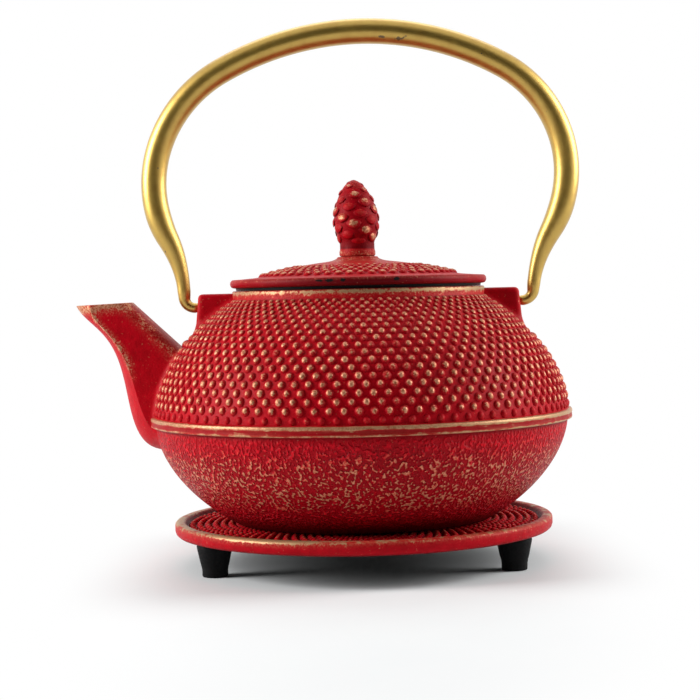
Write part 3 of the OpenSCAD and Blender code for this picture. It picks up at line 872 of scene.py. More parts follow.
class TEAPOT_OT_bowl(bpy.types.Operator):
    """Turn the bowl with its belt, collar and inside, and bore it for the spout"""

    bl_idname = "teapot.bowl"
    bl_label = "Bowl"

    def execute(self, context):
        b, s = sizes("bowl", "spout")
        low, high = b.belt_z - b.belt_h / 2, b.belt_z + b.belt_h / 2
        bowl_r = b.belt_r - b.belt_out
        foot = dome_z(b.collar_r, b)
        heel = b.base_z + 2.1
        p = Profile()
        # painted shade: the underside and the foot by the trivet are darkened
        p.add(0, b.base_z, hollow=1.0)
        p.at(b.base_r, b.base_z).run((-4, 0), (0, 0), (1.4, 0.25), (2.5, 0.8), hollow=1.0)
        p.at(0, 0)
        for i in range(46):
            z = heel + (low - 0.5 - heel) * i / 45
            down, up = b.belt_z - z, z - heel
            relief = ease((down - 1.6) / 2.5) * ease((up + 1.0) / 6.0) * (0.45 + 0.55 * ease((down - 3) / 8))
            dust = ease((down - 3.0) / 14.0) * ease((up - 3.0) / 10.0)
            # painted shade: darker just under the belt and towards the foot
            hollow = 0.7 * ease(1 - (down - 1.9) / 1.6) + 0.9 * ease(1 - up / 5.0)
            p.add(casting_r(z, b), z, relief=relief, dust=dust, hollow=hollow)
        belt = (
            (bowl_r + 0.35, low - 0.1, 0.1),
            (b.belt_r - 0.55, low, 0.42),
            (b.belt_r - 0.12, low + 0.18, 0.68),
            (b.belt_r, low + 0.55, 0.5),
            (b.belt_r - 0.12, low + 1.0, 0.18),
            (b.belt_r - 0.15, high - 1.55, 0.22),
            (b.belt_r, high - 1.1, 0.62),
            (b.belt_r, high - 0.6, 0.95),
            (b.belt_r - 0.25, high - 0.12, 0.95),
            (b.belt_r - 0.7, high, 0.85),
            (bowl_r + 0.4, high + 0.12, 0.3),
        )
        for r, z, gild in belt:
            # painted shade: darker under the belt and in its groove between the gold lines
            belt_shade = 0.9 if gild < 0.15 else (0.4 if gild < 0.3 else 0.0)
            p.add(r, z, gild=gild, streak=1.0, hollow=belt_shade, olive=0.6)
        for i in range(44):
            z = high + 0.6 + (foot - 0.9 - high - 0.6) * i / 43
            p.add(casting_r(z, b), z)
        p.at(b.collar_r, foot)
        # painted shade at the collar's foot on the dome
        p.add(0.35, 0.15, gild=0.12, hollow=0.5)
        p.add(0, 0.8, gild=0.2)
        p.at(b.collar_r, b.collar_z)
        p.add(0, -1.9, gild=0.36, olive=0.5)
        p.add(0, -0.9, gild=0.8, olive=1.0)
        # painted shade on the collar's top, under the lid's flange
        p.add(-0.12, -0.3, gild=0.5, hollow=0.4, olive=1.0)
        p.add(-0.45, -0.05, gild=0.2, hollow=1.0)
        p.add(-1.0, 0, gild=0.2, hollow=0.8)
        p.at(b.throat_r, b.collar_z)
        p.add(3.6, 0, gild=0.3)
        p.add(3.2, -0.4)
        p.at(b.throat_r, b.ledge_z).run((3.2, 0), (0.3, 0), (0, -0.3), mark=1)
        p.at(0, 0)
        throat = dome_z(b.throat_r, b, b.wall)
        floor = b.base_z + b.wall + 0.4
        p.add(b.throat_r, throat, 1)
        for i in range(1, 41):
            z = throat + (floor + 1.6 - throat) * i / 40
            p.add(casting_r(z, b, b.wall), z, 1)
        p.at(casting_r(floor + 1.6, b, b.wall), floor).run((-1.2, 0.3), (-3, 0), mark=1)
        p.at(0, floor).add(0, 0, 1)
        shares = {
            "gild": lambda a: 0.88 + 0.3 * hump(a, -25, 40) + 0.1 * hump(a, -170, 30),
            "olive": lambda a: 0.35 + 0.4 * hump(a, -100, 60) + 1.1 * hump(a, -30, 40),
        }
        pot = turned("bowl_casting", p, 240, RED_AND_ENAMEL, round_about=shares)
        cut(pot, rod("spout_bore", (-b.belt_r - 2, 0, b.belt_z + 10), (1, 0, 0), 20, s.hole_r, 40, 1), 40)
        fit(pot, "pot", "red_enamel", "pot_body")
        return {"FINISHED"}


NAIL_ROWS = 19
FIRST_NAIL = -90 + 1.4  # angle of the first nail in an even row, in degrees
ROOM_BY_SPOUT = 1.3
ROOM_BY_EAR = (2.6, 2.4)  # outwards and sideways


def row_reach(i):
    """Distance of a row of dome nails from the belt's middle along the casting, in millimetres."""
    half = (i - 1) / 2
    return 3.6 if i == 0 else 6.8 + 6.1 * half - 0.23 * max(0.0, half - 4) ** 2


class TEAPOT_OT_dome_nails(bpy.types.Operator):
    """Stand the staggered rows of nails on the dome, clear of the spout and the ears"""

    bl_idname = "teapot.dome_nails"
    bl_label = "Dome nails"

    def execute(self, context):
        b, s, e = sizes("bowl", "spout", "bail")
        heights = np.linspace(b.belt_z, dome_z(b.collar_r - 1, b), 900)
        radii = np.array([casting_r(z, b) for z in heights])
        along = np.concatenate([[0], np.cumsum(np.hypot(np.diff(heights), np.diff(radii)))])
        spots = []
        for i in range(NAIL_ROWS):
            reach = row_reach(i)
            z = float(np.interp(reach, along, heights))
            r = float(np.interp(reach, along, radii))
            slope = slope_of(lambda height: casting_r(height, b), z)
            size = 0.85 if i == 0 else 1.0 - 0.27 * ease((reach - 18) / 38)
            rub = 0.3 if i == 0 else 0.95
            for j in range(b.nails):
                a = radians(FIRST_NAIL + 360 / b.nails * (j + 0.5 * (i % 2)))
                x, y = r * cos(a), r * sin(a)
                by_ear = abs(y) < e.ear_w / 2 + ROOM_BY_EAR[1] and r < e.ear_x + ROOM_BY_EAR[0]
                if not by_ear and not under_spout(x, y, z, s, b, ROOM_BY_SPOUT):
                    spots.append(wall_spot((x, y, z), a, slope, 0.12, size, rub))
        nails = studs("dome_nails", spots, b.nail_r, b.nail_h, 11, **{"Stretch": 1.15, "Gilding From": 0.69})
        fit(nails, "pot", "red_enamel")
        return {"FINISHED"}


def column_end(index, inset, s, b):
    """Place along the spout at which one line of its skin goes under the bowl's surface."""
    depth, lowest, stride = 0.4, -0.12, 0.03

    def sunk(t):
        return clear_of_bowl(spout_section(t, inset, s, b)[index][0], b)[0] < -depth

    low = high = 1.0
    while not sunk(low):
        high = low
        low -= stride
        if low <= lowest:
            return lowest
    for _ in range(10):
        mid = (low + high) / 2
        if sunk(mid):
            low = mid
        else:
            high = mid
    return low


def spout_skin(rows, inset, s, b, flared):
    """Rings of (point, place along, place across) from the mouth to the bowl."""
    size = len(spout_section(1.0, inset, s, b))
    start = 0.997
    ends = [column_end(i, inset, s, b) for i in range(size)]
    rings = []
    for k in range(rows + 1):
        ring = []
        for i in range(size):
            t = start + (ends[i] - start) * (k / rows) ** 0.92
            section = spout_section(t, inset, s, b)
            p, across = section[i]
            d, wall = clear_of_bowl(p, b)
            if flared and d < s.fillet:
                along = (section[(i + 1) % size][0] - section[i - 1][0]).normalized()
                nose, back, _, _ = spout_line(t, s, b)
                u = (back - nose).normalized()
                normal = along.cross(Vector((-u.y, 0, u.x))).normalized()
                middle = (nose + back) / 2
                if normal.dot(p - Vector((middle.x, 0, middle.y))) < 0:
                    normal = -normal
                p = p + (normal - wall * normal.dot(wall)) * flare(d, s.fillet)
            ring.append((p, t, across))
        rings.append(ring)
    return rings


def spout_gilding(t, across):
    """Gold rubbed on the spout's edges, its tip, its back and its mouth."""
    ridge = exp(-(((across - 1.0) / 0.13) ** 2)) * ease((t - 0.3) / 0.25) * 0.66
    tip = 0.7 * ease((t - 0.84) / 0.14) * (1.0 if across <= 1.12 else 0.8)
    speck = 0.34 * ease((across - 1.6) / 0.4) * ease((t - 0.2) / 0.2)
    mouth = 0.6 if t > 0.975 else 0.0
    return max(ridge, tip, speck, mouth)


class TEAPOT_OT_spout(bpy.types.Operator):
    """Loft the spout as a hollow shell that flares into the bowl"""

    bl_idname = "teapot.spout"
    bl_label = "Spout"

    def execute(self, context):
        b, s = sizes("bowl", "spout")
        outside = spout_skin(46, 0.0, s, b, True)
        inside = spout_skin(20, s.wall, s, b, False)
        rims = [[(p, 1.0, k) for p, k in spout_section(1.0, inset, s, b)] for inset in (0.45, s.wall - 0.4)]
        rings = outside[::-1] + rims + inside
        size = len(rims[0])
        points, gild, marks = [], [], []
        for n, ring in enumerate(rings):
            points += [tuple(p) for p, _, _ in ring]
            hidden = n > len(outside) + 1
            gild += [0.0 if hidden else spout_gilding(t, across) for _, t, across in ring]
            marks += [1 if n > len(outside) + 2 else 0] * size
        faces = tube([[None] * size for _ in rings], closed=True)
        fields = {"gild": gild}
        shell = new_piece("spout_casting", points, faces, RED_AND_ENAMEL, marks, fields, 34, outward=True)
        fit(shell, "pot", "red_enamel", "spout")
        return {"FINISHED"}


def block_mesh(n):
    """Points of a block's surface as places from 0 to 1, closer together at the edges, and its faces."""
    place = [(1 - cos(pi * i / n)) / 2 for i in range(n + 1)]
    index, points, faces = {}, [], []

    def at(*key):
        if key not in index:
            index[key] = len(points)
            points.append(tuple(place[i] for i in key))
        return index[key]

    for axis, end, i, j in product(range(3), (0, n), range(n), range(n)):
        quad = []
        for u, v in ((i, j), (i + 1, j), (i + 1, j + 1), (i, j + 1)):
            key = [u, v]
            key.insert(axis, end)
            quad.append(at(*key))
        faces.append(quad)
    return points, faces


def make_ear(name, side, b, e, node):
    """An ear as a rounded block that flares onto the dome, with side -1 towards the spout."""
    inner, bend, fillet, sunk = b.collar_r - 3, 1.7, 2.6, 0.45
    half = e.ear_w / 2
    foot = dome_z(b.collar_r, b)

    def ground(x, y):
        """Height of the ear's own foot, a little way inside the dome."""
        r = hypot(x, y)
        return foot - 0.3 if r <= b.collar_r else dome_z(r, b) - sunk

    cells, faces = block_mesh(18)
    points, gild = [], []
    for a, c, h in cells:
        x = inner + (e.ear_x - inner) * a
        y = -half + e.ear_w * c
        z = ground(x, y) + (e.ear_z - ground(x, y)) * h
        core = (min(x, e.ear_x - bend), min(max(y, bend - half), half - bend), min(z, e.ear_z - bend))
        off = Vector((x - core[0], y - core[1], z - core[2]))
        if off.length > 1e-6:
            off = off.normalized() * bend
            x, y, z = core[0] + off.x, core[1] + off.y, core[2] + off.z
        rise = z - ground(x, y)
        on_dome = hypot(x, y) > b.collar_r
        slope = slope_of(lambda place: ground(place, y), x) if on_dome else 0.0
        push = flare(max(0.0, rise - sunk) / hypot(1, slope), fillet)
        flat = Vector((off.x, off.y, 0))
        if push > 0 and flat.length > 1e-6 and a > 0:
            flat.normalize()
            x, y = x + flat.x * push, y + flat.y * push
            z = ground(x, y) + rise
        x -= e.ear_lean * ease((z - 88) / 12.4)
        points.append((side * x, y, z))
        gild.append(0.2 * min(1.0, abs(off.x * off.z) / 1.2 + abs(off.x * off.y) / 1.6))
    ear = new_piece(name, points, faces, RED, None, {"gild": gild}, 50, outward=True)
    bore = ((side * (b.collar_r + 2.2), 0, e.hinge_z), (side, 0, 0), 20, e.pin_r + e.pin_gap)
    cut(ear, rod("pin_bore", *bore, 32), 50)
    fit(ear, "pot", "red_enamel", node)


class TEAPOT_OT_ears(bpy.types.Operator):
    """Shape the two ears that carry the bail, filleted onto the dome and bored for its pins"""

    bl_idname = "teapot.ears"
    bl_label = "Ears"

    def execute(self, context):
        b, e = sizes("bowl", "bail")
        make_ear("ear_spout_side", -1, b, e, "spout_side_ear")
        make_ear("ear_rear", 1, b, e, "rear_ear")
        return {"FINISHED"}


# The centre line's arcs as (radius, angle in degrees, way), from the crown down.
BAIL_ARCS = ((106.8, 29.3, 1), (48, 43.3, 1), (44.2, 46.3, 1), (50.4, 26, -1))


def bail_side(e, n):
    """One half of the bail's centre line, from the crown to the elbow."""
    x = z = head = 0.0
    path = [(0.0, 0.0)]
    for radius, angle, way in BAIL_ARCS:
        x0, z0, h0 = x, z, head
        for i in range(1, n + 1):
            head = h0 + way * radians(angle) * i / n
            x = x0 + way * radius * (sin(head) - sin(h0))
            z = z0 - way * radius * (cos(h0) - cos(head))
            path.append((x, z))
    wide = e.leg_x / x
    tall = (e.crown_z - e.hinge_z - e.elbow_r) / -z
    return [(px * wide, e.crown_z + pz * tall) for px, pz in path]


class TEAPOT_OT_bail(bpy.types.Operator):
    """Sweep the bail: a bent brass tube, slender at its ends, that turns in to its pins"""

    bl_idname = "teapot.bail"
    bl_label = "Bail"

    def execute(self, context):
        (e,) = sizes("bail")
        rise = e.crown_z - e.hinge_z

        def radius(z):
            neck = 0.06  # share of the rise over which the tube thins to its pin
            thin = e.pin_r + 0.12
            t = min(1.0, max(0.0, (z - e.hinge_z) / rise))
            if t < neck:
                return thin + (e.leg_r - thin) * t / neck
            return e.leg_r + (e.tube_r - e.leg_r) * ease((t - neck) / 0.29)

        half = bail_side(e, 22)
        for i in range(1, 13):
            a = radians(90 * i / 12)
            half.append((e.leg_x - e.elbow_r * (1 - cos(a)), e.hinge_z + e.elbow_r * (1 - sin(a))))
        rings = [(x, z, radius(z)) for x, z in half]
        elbow = e.leg_x - e.elbow_r
        ends = ((elbow - 0.25, 0.1), (elbow - 0.4, 0.0), (e.pin_x + 0.3, 0.0), (e.pin_x, -0.3))
        rings += [(x, e.hinge_z, e.pin_r + more) for x, more in ends]

        def skewed(x, z):
            return x + e.skew * max(0.0, z - e.hinge_z) / rise

        whole = [(skewed(-x, z), z, r) for x, z, r in reversed(rings[1:])]
        whole += [(skewed(x, z), z, r) for x, z, r in rings]
        points, sides = [], 36
        for i, (x, z, r) in enumerate(whole):
            ax, az, _ = whole[max(0, i - 1)]
            cx, cz, _ = whole[min(len(whole) - 1, i + 1)]
            t = Vector((cx - ax, cz - az)).normalized()
            for j in range(sides):
                a = 2 * pi * j / sides
                points.append((x - t.y * r * cos(a), r * sin(a), z + t.x * r * cos(a)))
        faces = tube([points[i : i + sides] for i in range(0, len(points), sides)])
        bail = new_piece("bail_tube", points, faces, ("satin_brass",), outward=True)
        fit(bail, "bail", "gold_paint", "bail_handle")
        return {"FINISHED"}


def lid_underside(p, d, top):
    """The washer's seat, the hollow under the dome and the skirt."""
    seat = 6.4
    p.run((d.hole_r, d.core_z), (5.7, d.core_z), (6.2, d.core_z + 0.2), mark=1)
    p.add(seat, top(seat) - d.thick, 1)
    for i in range(1, 17):
        r = seat + (d.skirt_r - 3.6 - seat) * i / 16
        p.add(r, top(r) - d.thick, 1)
    p.at(d.skirt_r, d.lid_z).add(-2.7, 0.2, 1)
    p.at(d.skirt_r, d.lid_z - d.skirt_h).run((-2.4, 0.4), (-2.0, 0), (-0.5, 0), (0, 0.6), mark=1)
    p.at(d.skirt_r, d.lid_z).run((0, -0.2), (0.3, 0), mark=1)


def lid_flange(p, d, top):
    """The seat on the collar with painted black shadow in the gap under the lip, the round edge with painted
    shade on its lower half, and the flat.
    """
    p.at(d.lid_r, d.lid_z)
    # painted shade on the seat and painted black shadow in the gap under the lip
    p.add(-3.6, 0, hollow=1.0)
    p.run((-3.0, -0.24), (-2.2, -0.22), hollow=4.0)
    p.at(d.lid_r, d.lid_z + d.lip).add(-2.1, -0.1, hollow=4.0)
    p.add(-1.4, 0, hollow=1.0)
    half, bend = (d.edge - d.lip) / 2, 1.3
    p.at(d.lid_r - bend, d.lid_z + d.lip + half)
    for turn in (-72, -50, -25, 0, 25, 50, 72):
        a = radians(turn)
        gild = 0.14 if turn < -40 else (0.08 if turn < 20 else 0.24)
        # painted shade: the round edge darker on its lower, downward half
        hollow = 0.98 * ease((95 - turn) / 70)
        p.add(bend * cos(a), half * sin(a), gild=gild, hollow=hollow)
    p.at(d.lid_r, d.lid_z + d.edge)
    p.add(-2.0, 0, gild=0.26)
    p.add(-3.8, 0.08, gild=0.16)
    p.at(d.dome_r, d.lid_z + d.edge).add(1.6, 0.45, gild=0.12)
    p.at(d.dome_r, top(d.dome_r)).add(0.5, 0, gild=0.12)
    p.at(0, 0)


def lid_dome(p, d, top):
    """The raised dome and the flank that runs up to the pad."""
    flank = 5.6  # how far the pad's foot reaches out from the pad
    outer = d.dome_r - 0.3
    for i in range(25):
        r = outer - (outer - d.pad_r - flank) * i / 24
        p.add(r, top(r), gild=0.28 * ease((24 - r) / 4))
    rise = d.pad_z - top(d.pad_r) - 0.15
    for i in range(1, 10):
        r = d.pad_r + flank * (1 - i / 9) ** 1.6
        p.add(r, top(r) + rise * (i / 9) ** 2.2, gild=0.42)
    p.add(d.pad_r - 0.2, d.pad_z - 0.03, gild=0.46)
    p.add(d.pad_r - 0.6, d.pad_z, gild=0.42)
    p.add(d.hole_r, d.pad_z)


class TEAPOT_OT_lid(bpy.types.Operator):
    """Turn the lid with its flange, skirt and pad, and stand its rings of nails on it"""

    bl_idname = "teapot.lid"
    bl_label = "Lid"

    def execute(self, context):
        (d,) = sizes("lid")

        def top(r):
            return d.lid_z + d.edge + 0.6 + (d.rise - 0.6) * (1 - (r / d.dome_r) ** 2)

        p = Profile()
        lid_underside(p, d, top)
        lid_flange(p, d, top)
        lid_dome(p, d, top)
        # painted shade: the lid darker on its front side, towards -y
        shares = {"hollow": lambda a: 0.35 + 0.7 * hump(a, -90, 48)}
        lid = turned("lid_plate", p, 200, RED_AND_ENAMEL, ring=True, round_about=shares)
        fit(lid, "lid", "red_enamel", "lid")
        spots = []
        rings, pitch = 5, 2.9
        for k in range(rings):
            r = d.dome_r - 2.2 - pitch * k
            slope = slope_of(top, r)
            for a in ring_angles(d.nails, k):
                n = Vector((-slope * cos(a), -slope * sin(a), 1.0)).normalized()
                foot = Vector((r * cos(a), r * sin(a), top(r))) - n * 0.1
                up = (-cos(a), -sin(a), 0.0)
                spots.append((tuple(foot), tuple(n), up, 1.0 - 0.08 * k, 0.98))
        nails = studs("lid_nails", spots, d.nail_r, d.nail_h, 23)
        fit(nails, "lid", "red_enamel")
        return {"FINISHED"}


class TEAPOT_OT_knob(bpy.types.Operator):
    """Turn the knob's foot and egg and clad it with spiral rows of scales"""

    bl_idname = "teapot.knob"
    bl_label = "Pine-cone knob"

    def execute(self, context):
        (d,) = sizes("lid")
        wide, mid = d.knob_r - 0.4, 13.4
        crown = d.knob_h - 0.35

        def egg(z):
            if z < mid:
                return wide * sqrt(max(0.0, 1 - ((mid - z) / 12.2) ** 2))
            return wide * max(0.0, 1 - ((z - mid) / (crown - mid)) ** 1.7) ** (1 / 1.7)

        def leaning(x, y, z):
            return x - d.lean * (z / d.knob_h) ** 2, y, z + d.pad_z

        neck = 6.4
        p = Profile()
        p.run((0, 0.02), (5.9, 0.02))
        p.add(6.5, 0.3, gild=0.4)
        p.add(6.7, 0.9, gild=0.42)
        p.add(6.65, 1.9, gild=0.4)
        p.add(6.45, 2.6, gild=0.2)
        # painted shade on the neck under the egg
        p.add(neck, 3.1, hollow=0.9)
        p.add(neck, 3.6, hollow=0.8)
        for i in range(9):
            z = 4.0 + (mid - 4.0) * i / 8
            # painted shade: the egg's lower part darker
            p.add(max(neck, egg(z)), z, hollow=0.35 + 0.4 * ease((9 - z) / 5))
        for i in range(1, 15):
            z = mid + (crown - mid) * sin(radians(90 * i / 15))
            # painted shade: darker below the knob's top
            p.add(egg(z), z, gild=0.25 * ease((z - 22) / 5), hollow=0.35 * ease((27 - z) / 6))
        p.add(0, crown, gild=0.3)
        core = turned("knob_core", p, 72, RED, bend=leaning)
        fit(core, "lid", "red_enamel", "lid_knob")
        heights = np.linspace(4.4, crown - 0.25, 600)
        radii = np.array([egg(z) for z in heights])
        strips = (radii[1:] + 1.2) * np.hypot(np.diff(heights), np.diff(radii))
        area = np.concatenate([[0], np.cumsum(strips)])
        golden_angle = 137.508
        rubs = (0.95, 0.3, 0.8, 0.55, 0.2)
        spots = []
        for i in range(d.scales):
            z = float(np.interp((i + 0.5) / d.scales * area[-1], area, heights))
            r = egg(z)
            over = min(crown, z + 0.2)
            slope = max(-3.0, (egg(over) - egg(z - 0.2)) / (over - z + 0.2))
            a = radians(golden_angle * i)
            place = leaning(r * cos(a), r * sin(a), z)
            size = 0.46 + 0.5 * ease(r / d.knob_r)
            spots.append(wall_spot(place, a, slope, 0.3, size, rubs[(i * 7) % 5], tilt=0.24))
        look = {"Stretch": 0.8, "Lozenge": 0.2, "Taper": 1.9, "Gilding From": 0.62}
        look |= {"Dark Foot": 0.7, "Unevenness": 0.1}
        scales = studs("knob_scales", spots, d.scale_r, 0.95, 5, **look)
        fit(scales, "lid", "red_enamel")
        return {"FINISHED"}


class TEAPOT_OT_infuser(bpy.types.Operator):
    """Give the infuser, the knob's screw and its washer their brushed steel"""

    bl_idname = "teapot.infuser"
    bl_label = "Infuser and screw"

    def execute(self, context):
        for name in ("infuser_rim", "infuser_wall", "infuser_base", "knob_screw", "knob_washer"):
            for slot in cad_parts[name].material_slots:
                slot.link = "OBJECT"
                slot.material = finish("brushed_steel")
        return {"FINISHED"}


class TEAPOT_OT_trivet(bpy.types.Operator):
    """Turn the trivet and stand its rings of nails on the tray"""

    bl_idname = "teapot.trivet"
    bl_label = "Trivet"

    def execute(self, context):
        (t,) = sizes("trivet")
        p = Profile()
        p.add(0, t.foot_h, 1)
        p.at(t.trivet_r, t.foot_h)
        p.add(-8, 0, 1)
        # painted shade on the underside's outer edge, over the floor
        p.add(-2.4, 0, hollow=0.8)
        p.add(-1.1, 0.35, hollow=0.6)
        p.run((-0.35, 1.0), (0, 2.0))
        p.at(t.trivet_r, t.top_z)
        p.add(0, -1.3, gild=0.34, olive=0.8)
        p.add(-0.12, -0.75, gild=0.62, olive=0.9)
        p.add(-0.55, -0.28, gild=0.74, streak=0.6, olive=0.95)
        p.run((-1.2, 0), (-1.8, 0), gild=0.8, streak=0.6, olive=1.0)
        inner = t.trivet_r - t.rim_w
        p.at(inner, t.top_z)
        p.add(0.9, 0, gild=0.74, streak=0.6, olive=1.0)
        p.add(0.3, -0.22, gild=0.6, olive=0.9)
        # painted shade on the rim's inner foot and over the whole tray between the nails
        p.add(-0.1, -0.8, gild=0.15, hollow=0.5)
        p.at(inner, t.tray_z).run((-0.45, 0.4), (-1.0, 0), hollow=0.9)
        p.at(0, t.tray_z).run((50, 0), (36, 0), (22, 0), (8, 0), (0, 0), hollow=1.0)
        shares = {"gild": lambda a: 0.6 + 0.7 * hump(a, -120, 20) + 0.25 * hump(a, 180, 40)}
        plate = turned("trivet_plate", p, 220, RED_AND_ENAMEL, round_about=shares)
        fit(plate, "trivet", "red_enamel", "trivet")
        spots = []
        ring = 0
        edge = inner - 2.4
        while edge - ring * t.pitch > 3:
            radius = edge - ring * t.pitch
            number = t.nails if radius > 45 else int(2 * pi * radius / (1.1 * t.pitch))
            size = min(1.0, pi * radius / number / t.nail_r)
            for a in ring_angles(number, ring):
                c, s = cos(a), sin(a)
                spots.append(((radius * c, radius * s, t.tray_z), (0, 0, 1), (c, s, 0), size, 0.66))
            ring += 1
        look = {"Taper": 2.1, "Gilding From": 0.8, "Dark Foot": 1.0, "Unevenness": 0.0}
        nails = studs("trivet_nails", spots, t.nail_r, t.nail_h, 37, **look)
        fit(nails, "trivet", "red_enamel")
        return {"FINISHED"}


class TEAPOT_OT_feet(bpy.types.Operator):
    """Mould the trivet's three rubber feet, each with the hole for its peg"""

    bl_idname = "teapot.feet"
    bl_label = "Feet"

    def execute(self, context):
        (t,) = sizes("trivet")
        toe, wider, top = t.toe_r, t.foot_r - t.toe_r, t.foot_h
        p = Profile()
        p.run((0, 0), (toe - 0.6, 0), (toe - 0.15, 0.15), (toe, 0.6), (toe + 0.02, 2.4), (toe + 0.2, 3.6))
        p.run((toe + 0.3 * wider + 0.1, 5.2), (toe + 0.62 * wider, 7.4), (t.foot_r - 0.22, 9.6))
        p.run((t.foot_r, top - 0.6), (t.foot_r - 0.25, top - 0.02), (t.peg_r, top - 0.02))
        p.run((t.peg_r, top - 7), (0, top - 7))
        for i in range(3):
            a = radians(90 + 120 * i)
            centre = (t.foot_at * cos(a), t.foot_at * sin(a))
            foot = turned(f"rubber_foot_{i + 1}", p, 64, ("matt_rubber",), centre=centre, sharp=35)
            fit(foot, "trivet", "foot_rubber", f"trivet_foot_{i + 1}")
        return {"FINISHED"}


WHITE = (1.0, 1.0, 1.0, 1.0)


def seen(w):
    """1 for what the camera sees, straight, in a gloss or through glass, and 0 for other rays."""
    rays = w.add("ShaderNodeLightPath").outputs
    kinds = ("Is Camera Ray", "Is Glossy Ray", "Is Transmission Ray")
    return w.most(*(Wire(w, rays[kind]) for kind in kinds))


def hang_lamp(name, place, size, power):
    """A soft lamp that faces the pot and doesn't show."""
    data = bpy.data.lights.new(name, "AREA")
    data.shape = "RECTANGLE"
    data.size, data.size_y = size
    data.energy = power
    lamp = in_scene(name, data)
    lamp.location = place
    towards = Vector((AXIS_X, 0.0, 0.08)) - Vector(place)
    lamp.rotation_euler = towards.to_track_quat("-Z", "Y").to_euler()
    lamp.visible_camera = False


def stand_card(name, corners, material):
    """A flat card that belongs to the stage."""
    mesh = bpy.data.meshes.new(name)
    mesh.from_pydata(corners, [], [(0, 1, 2, 3)])
    mesh.materials.append(material)
    card = in_scene(name, mesh)
    return card


def lay_floor():
    material, w = node_material("white_floor")
    here = w.place()
    tints = ((0.805, 0.823, 0.828, 1.0), (0.825, 0.843, 0.843, 1.0))
    matt = w.wire("ShaderNodeBsdfDiffuse", {"Color": w.blend(w.noise(here, 30, 3), *tints)})
    white = w.wire("ShaderNodeEmission", {"Strength": 1.0})
    flat = w.vector("MULTIPLY", w.vector("SUBTRACT", here, (AXIS_X, 0.0, 0.0)), (1.5, 0.55, 1.0))
    far = w.step(w.length(flat), 0.085, 0.165)
    mix = w.wire("ShaderNodeMixShader", {0: seen(w) * far, 1: matt, 2: white})
    w.add("ShaderNodeOutputMaterial", {"Surface": mix})
    half, down = 4, -5e-5
    corners = [(-half, -half, down), (half, -half, down), (half, half, down), (-half, half, down)]
    stand_card("white_floor", corners, material)


def stand_flag():
    material, w = node_material("dark_flag")
    tints = ((0.012, 0.012, 0.012, 1.0), (0.02, 0.02, 0.02, 1.0))
    matt = w.wire("ShaderNodeBsdfDiffuse", {"Color": w.blend(w.noise(w.place(), 300, 2), *tints)})
    w.add("ShaderNodeOutputMaterial", {"Surface": matt})
    half, tall = 0.95, 1.4
    corners = [(-half, -half, 0.0), (half, -half, 0.0), (half, -half, tall), (-half, -half, tall)]
    stand_card("dark_flag", corners, material).visible_camera = False


def light_surroundings(strength):
    world = bpy.data.worlds.new("studio")
    bpy.context.scene.world = world
    world.use_nodes = True
    w = Wires(world.node_tree)
    soft = w.wire("ShaderNodeBackground", {"Color": WHITE, "Strength": strength})
    white = w.wire("ShaderNodeBackground", {"Color": WHITE, "Strength": 1.0})
    mix = w.wire("ShaderNodeMixShader", {0: seen(w), 1: soft, 2: white})
    w.add("ShaderNodeOutputWorld", {"Surface": mix})


def set_camera(scene, g):
    data = bpy.data.cameras.new("camera")
    data.lens = g.lens
    data.sensor_width = 36.0
    data.sensor_fit = "HORIZONTAL"
    data.clip_start = 0.01
    camera = in_scene("camera", data)
    pitch, yaw, roll = (radians(v) for v in (g.pitch, g.yaw, g.roll))
    ahead = Vector((sin(yaw) * cos(pitch), cos(yaw) * cos(pitch), -sin(pitch)))
    right = Vector((cos(yaw), -sin(yaw), 0.0))
    up = right.cross(ahead)
    across = right * cos(roll) - up * sin(roll)
    upright = right * sin(roll) + up * cos(roll)
    turn = Matrix((across, upright, -ahead)).transposed()
    camera.matrix_world = Matrix.Translation((AXIS_X + g.side, -g.away, g.height)) @ turn.to_4x4()
    scene.camera = camera


class TEAPOT_OT_stage(bpy.types.Operator):
    """Lay the pale floor, hang the lamps and set up the camera"""

    bl_idname = "teapot.stage"
    bl_label = "Stage"

    def execute(self, context):
        g = context.scene.teapot_stage
        lay_floor()
        stand_flag()
        light_surroundings(g.sky)
        hang_lamp("left_softbox", (-0.62, -0.12, 0.32), (0.3, 0.4), g.left)
        hang_lamp("right_softbox", (0.62, 0.02, 0.34), (0.34, 0.44), g.right)
        hang_lamp("top_softbox", (AXIS_X, 0.42, 0.8), (0.7, 0.5), g.top)
        set_camera(context.scene, g)
        context.scene.view_settings.view_transform = "Standard"
        return {"FINISHED"}


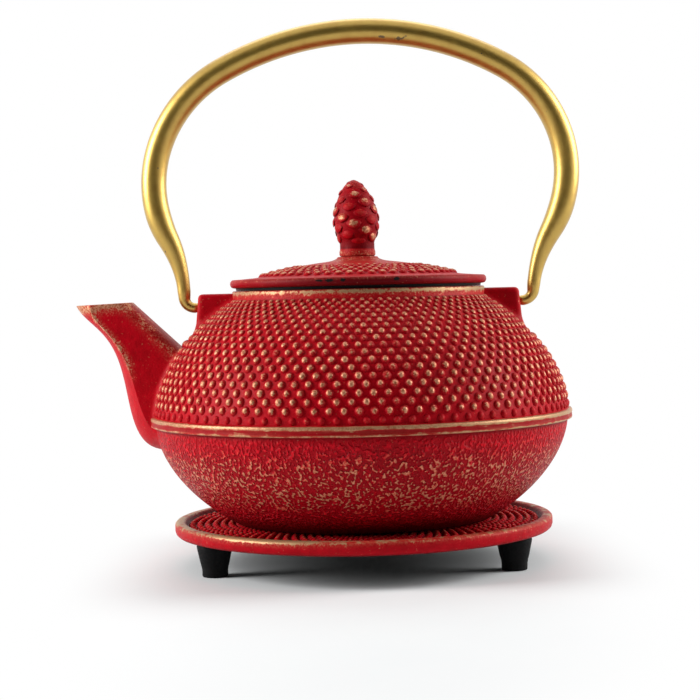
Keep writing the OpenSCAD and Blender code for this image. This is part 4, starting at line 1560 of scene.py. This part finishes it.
class TEAPOT_PT_panel(bpy.types.Panel):
    bl_idname = "TEAPOT_PT_panel"
    bl_label = "Cast iron teapot"
    bl_space_type = "VIEW_3D"
    bl_region_type = "UI"
    bl_category = "Teapot"

    def draw(self, context):
        for key, (title, _) in GROUPS.items():
            box = self.layout.box()
            box.label(text=title)
            group = getattr(context.scene, key)
            for setting in settings_of(group):
                box.prop(group, setting)
        for operator in OPERATORS:
            self.layout.operator(operator.bl_idname)


GROUPS = {
    "teapot_bowl": ("Bowl", TeapotBowl),
    "teapot_spout": ("Spout", TeapotSpout),
    "teapot_bail": ("Ears and bail", TeapotBail),
    "teapot_lid": ("Lid and knob", TeapotLid),
    "teapot_trivet": ("Trivet", TeapotTrivet),
    "teapot_finish": ("Finishes", TeapotFinish),
    "teapot_stage": ("Stage", TeapotStage),
}
OPERATORS = (
    TEAPOT_OT_stage,
    TEAPOT_OT_bowl,
    TEAPOT_OT_dome_nails,
    TEAPOT_OT_spout,
    TEAPOT_OT_ears,
    TEAPOT_OT_bail,
    TEAPOT_OT_lid,
    TEAPOT_OT_knob,
    TEAPOT_OT_infuser,
    TEAPOT_OT_trivet,
    TEAPOT_OT_feet,
)
CLASSES = (*(cls for _, cls in GROUPS.values()), *OPERATORS, TEAPOT_PT_panel)


def register():
    for cls in CLASSES:
        bpy.utils.register_class(cls)
    for key, (_, cls) in GROUPS.items():
        setattr(bpy.types.Scene, key, PointerProperty(type=cls))


def unregister():
    for key in GROUPS:
        delattr(bpy.types.Scene, key)
    for cls in reversed(CLASSES):
        bpy.utils.unregister_class(cls)


def main():
    register()
    bpy.ops.teapot.stage()
    bpy.ops.teapot.bowl()
    bpy.ops.teapot.dome_nails()
    bpy.ops.teapot.spout()
    bpy.ops.teapot.ears()
    bpy.ops.teapot.bail()
    bpy.ops.teapot.lid()
    bpy.ops.teapot.knob()
    bpy.ops.teapot.infuser()
    bpy.ops.teapot.trivet()
    bpy.ops.teapot.feet()


if __name__ == "__main__":
    main()
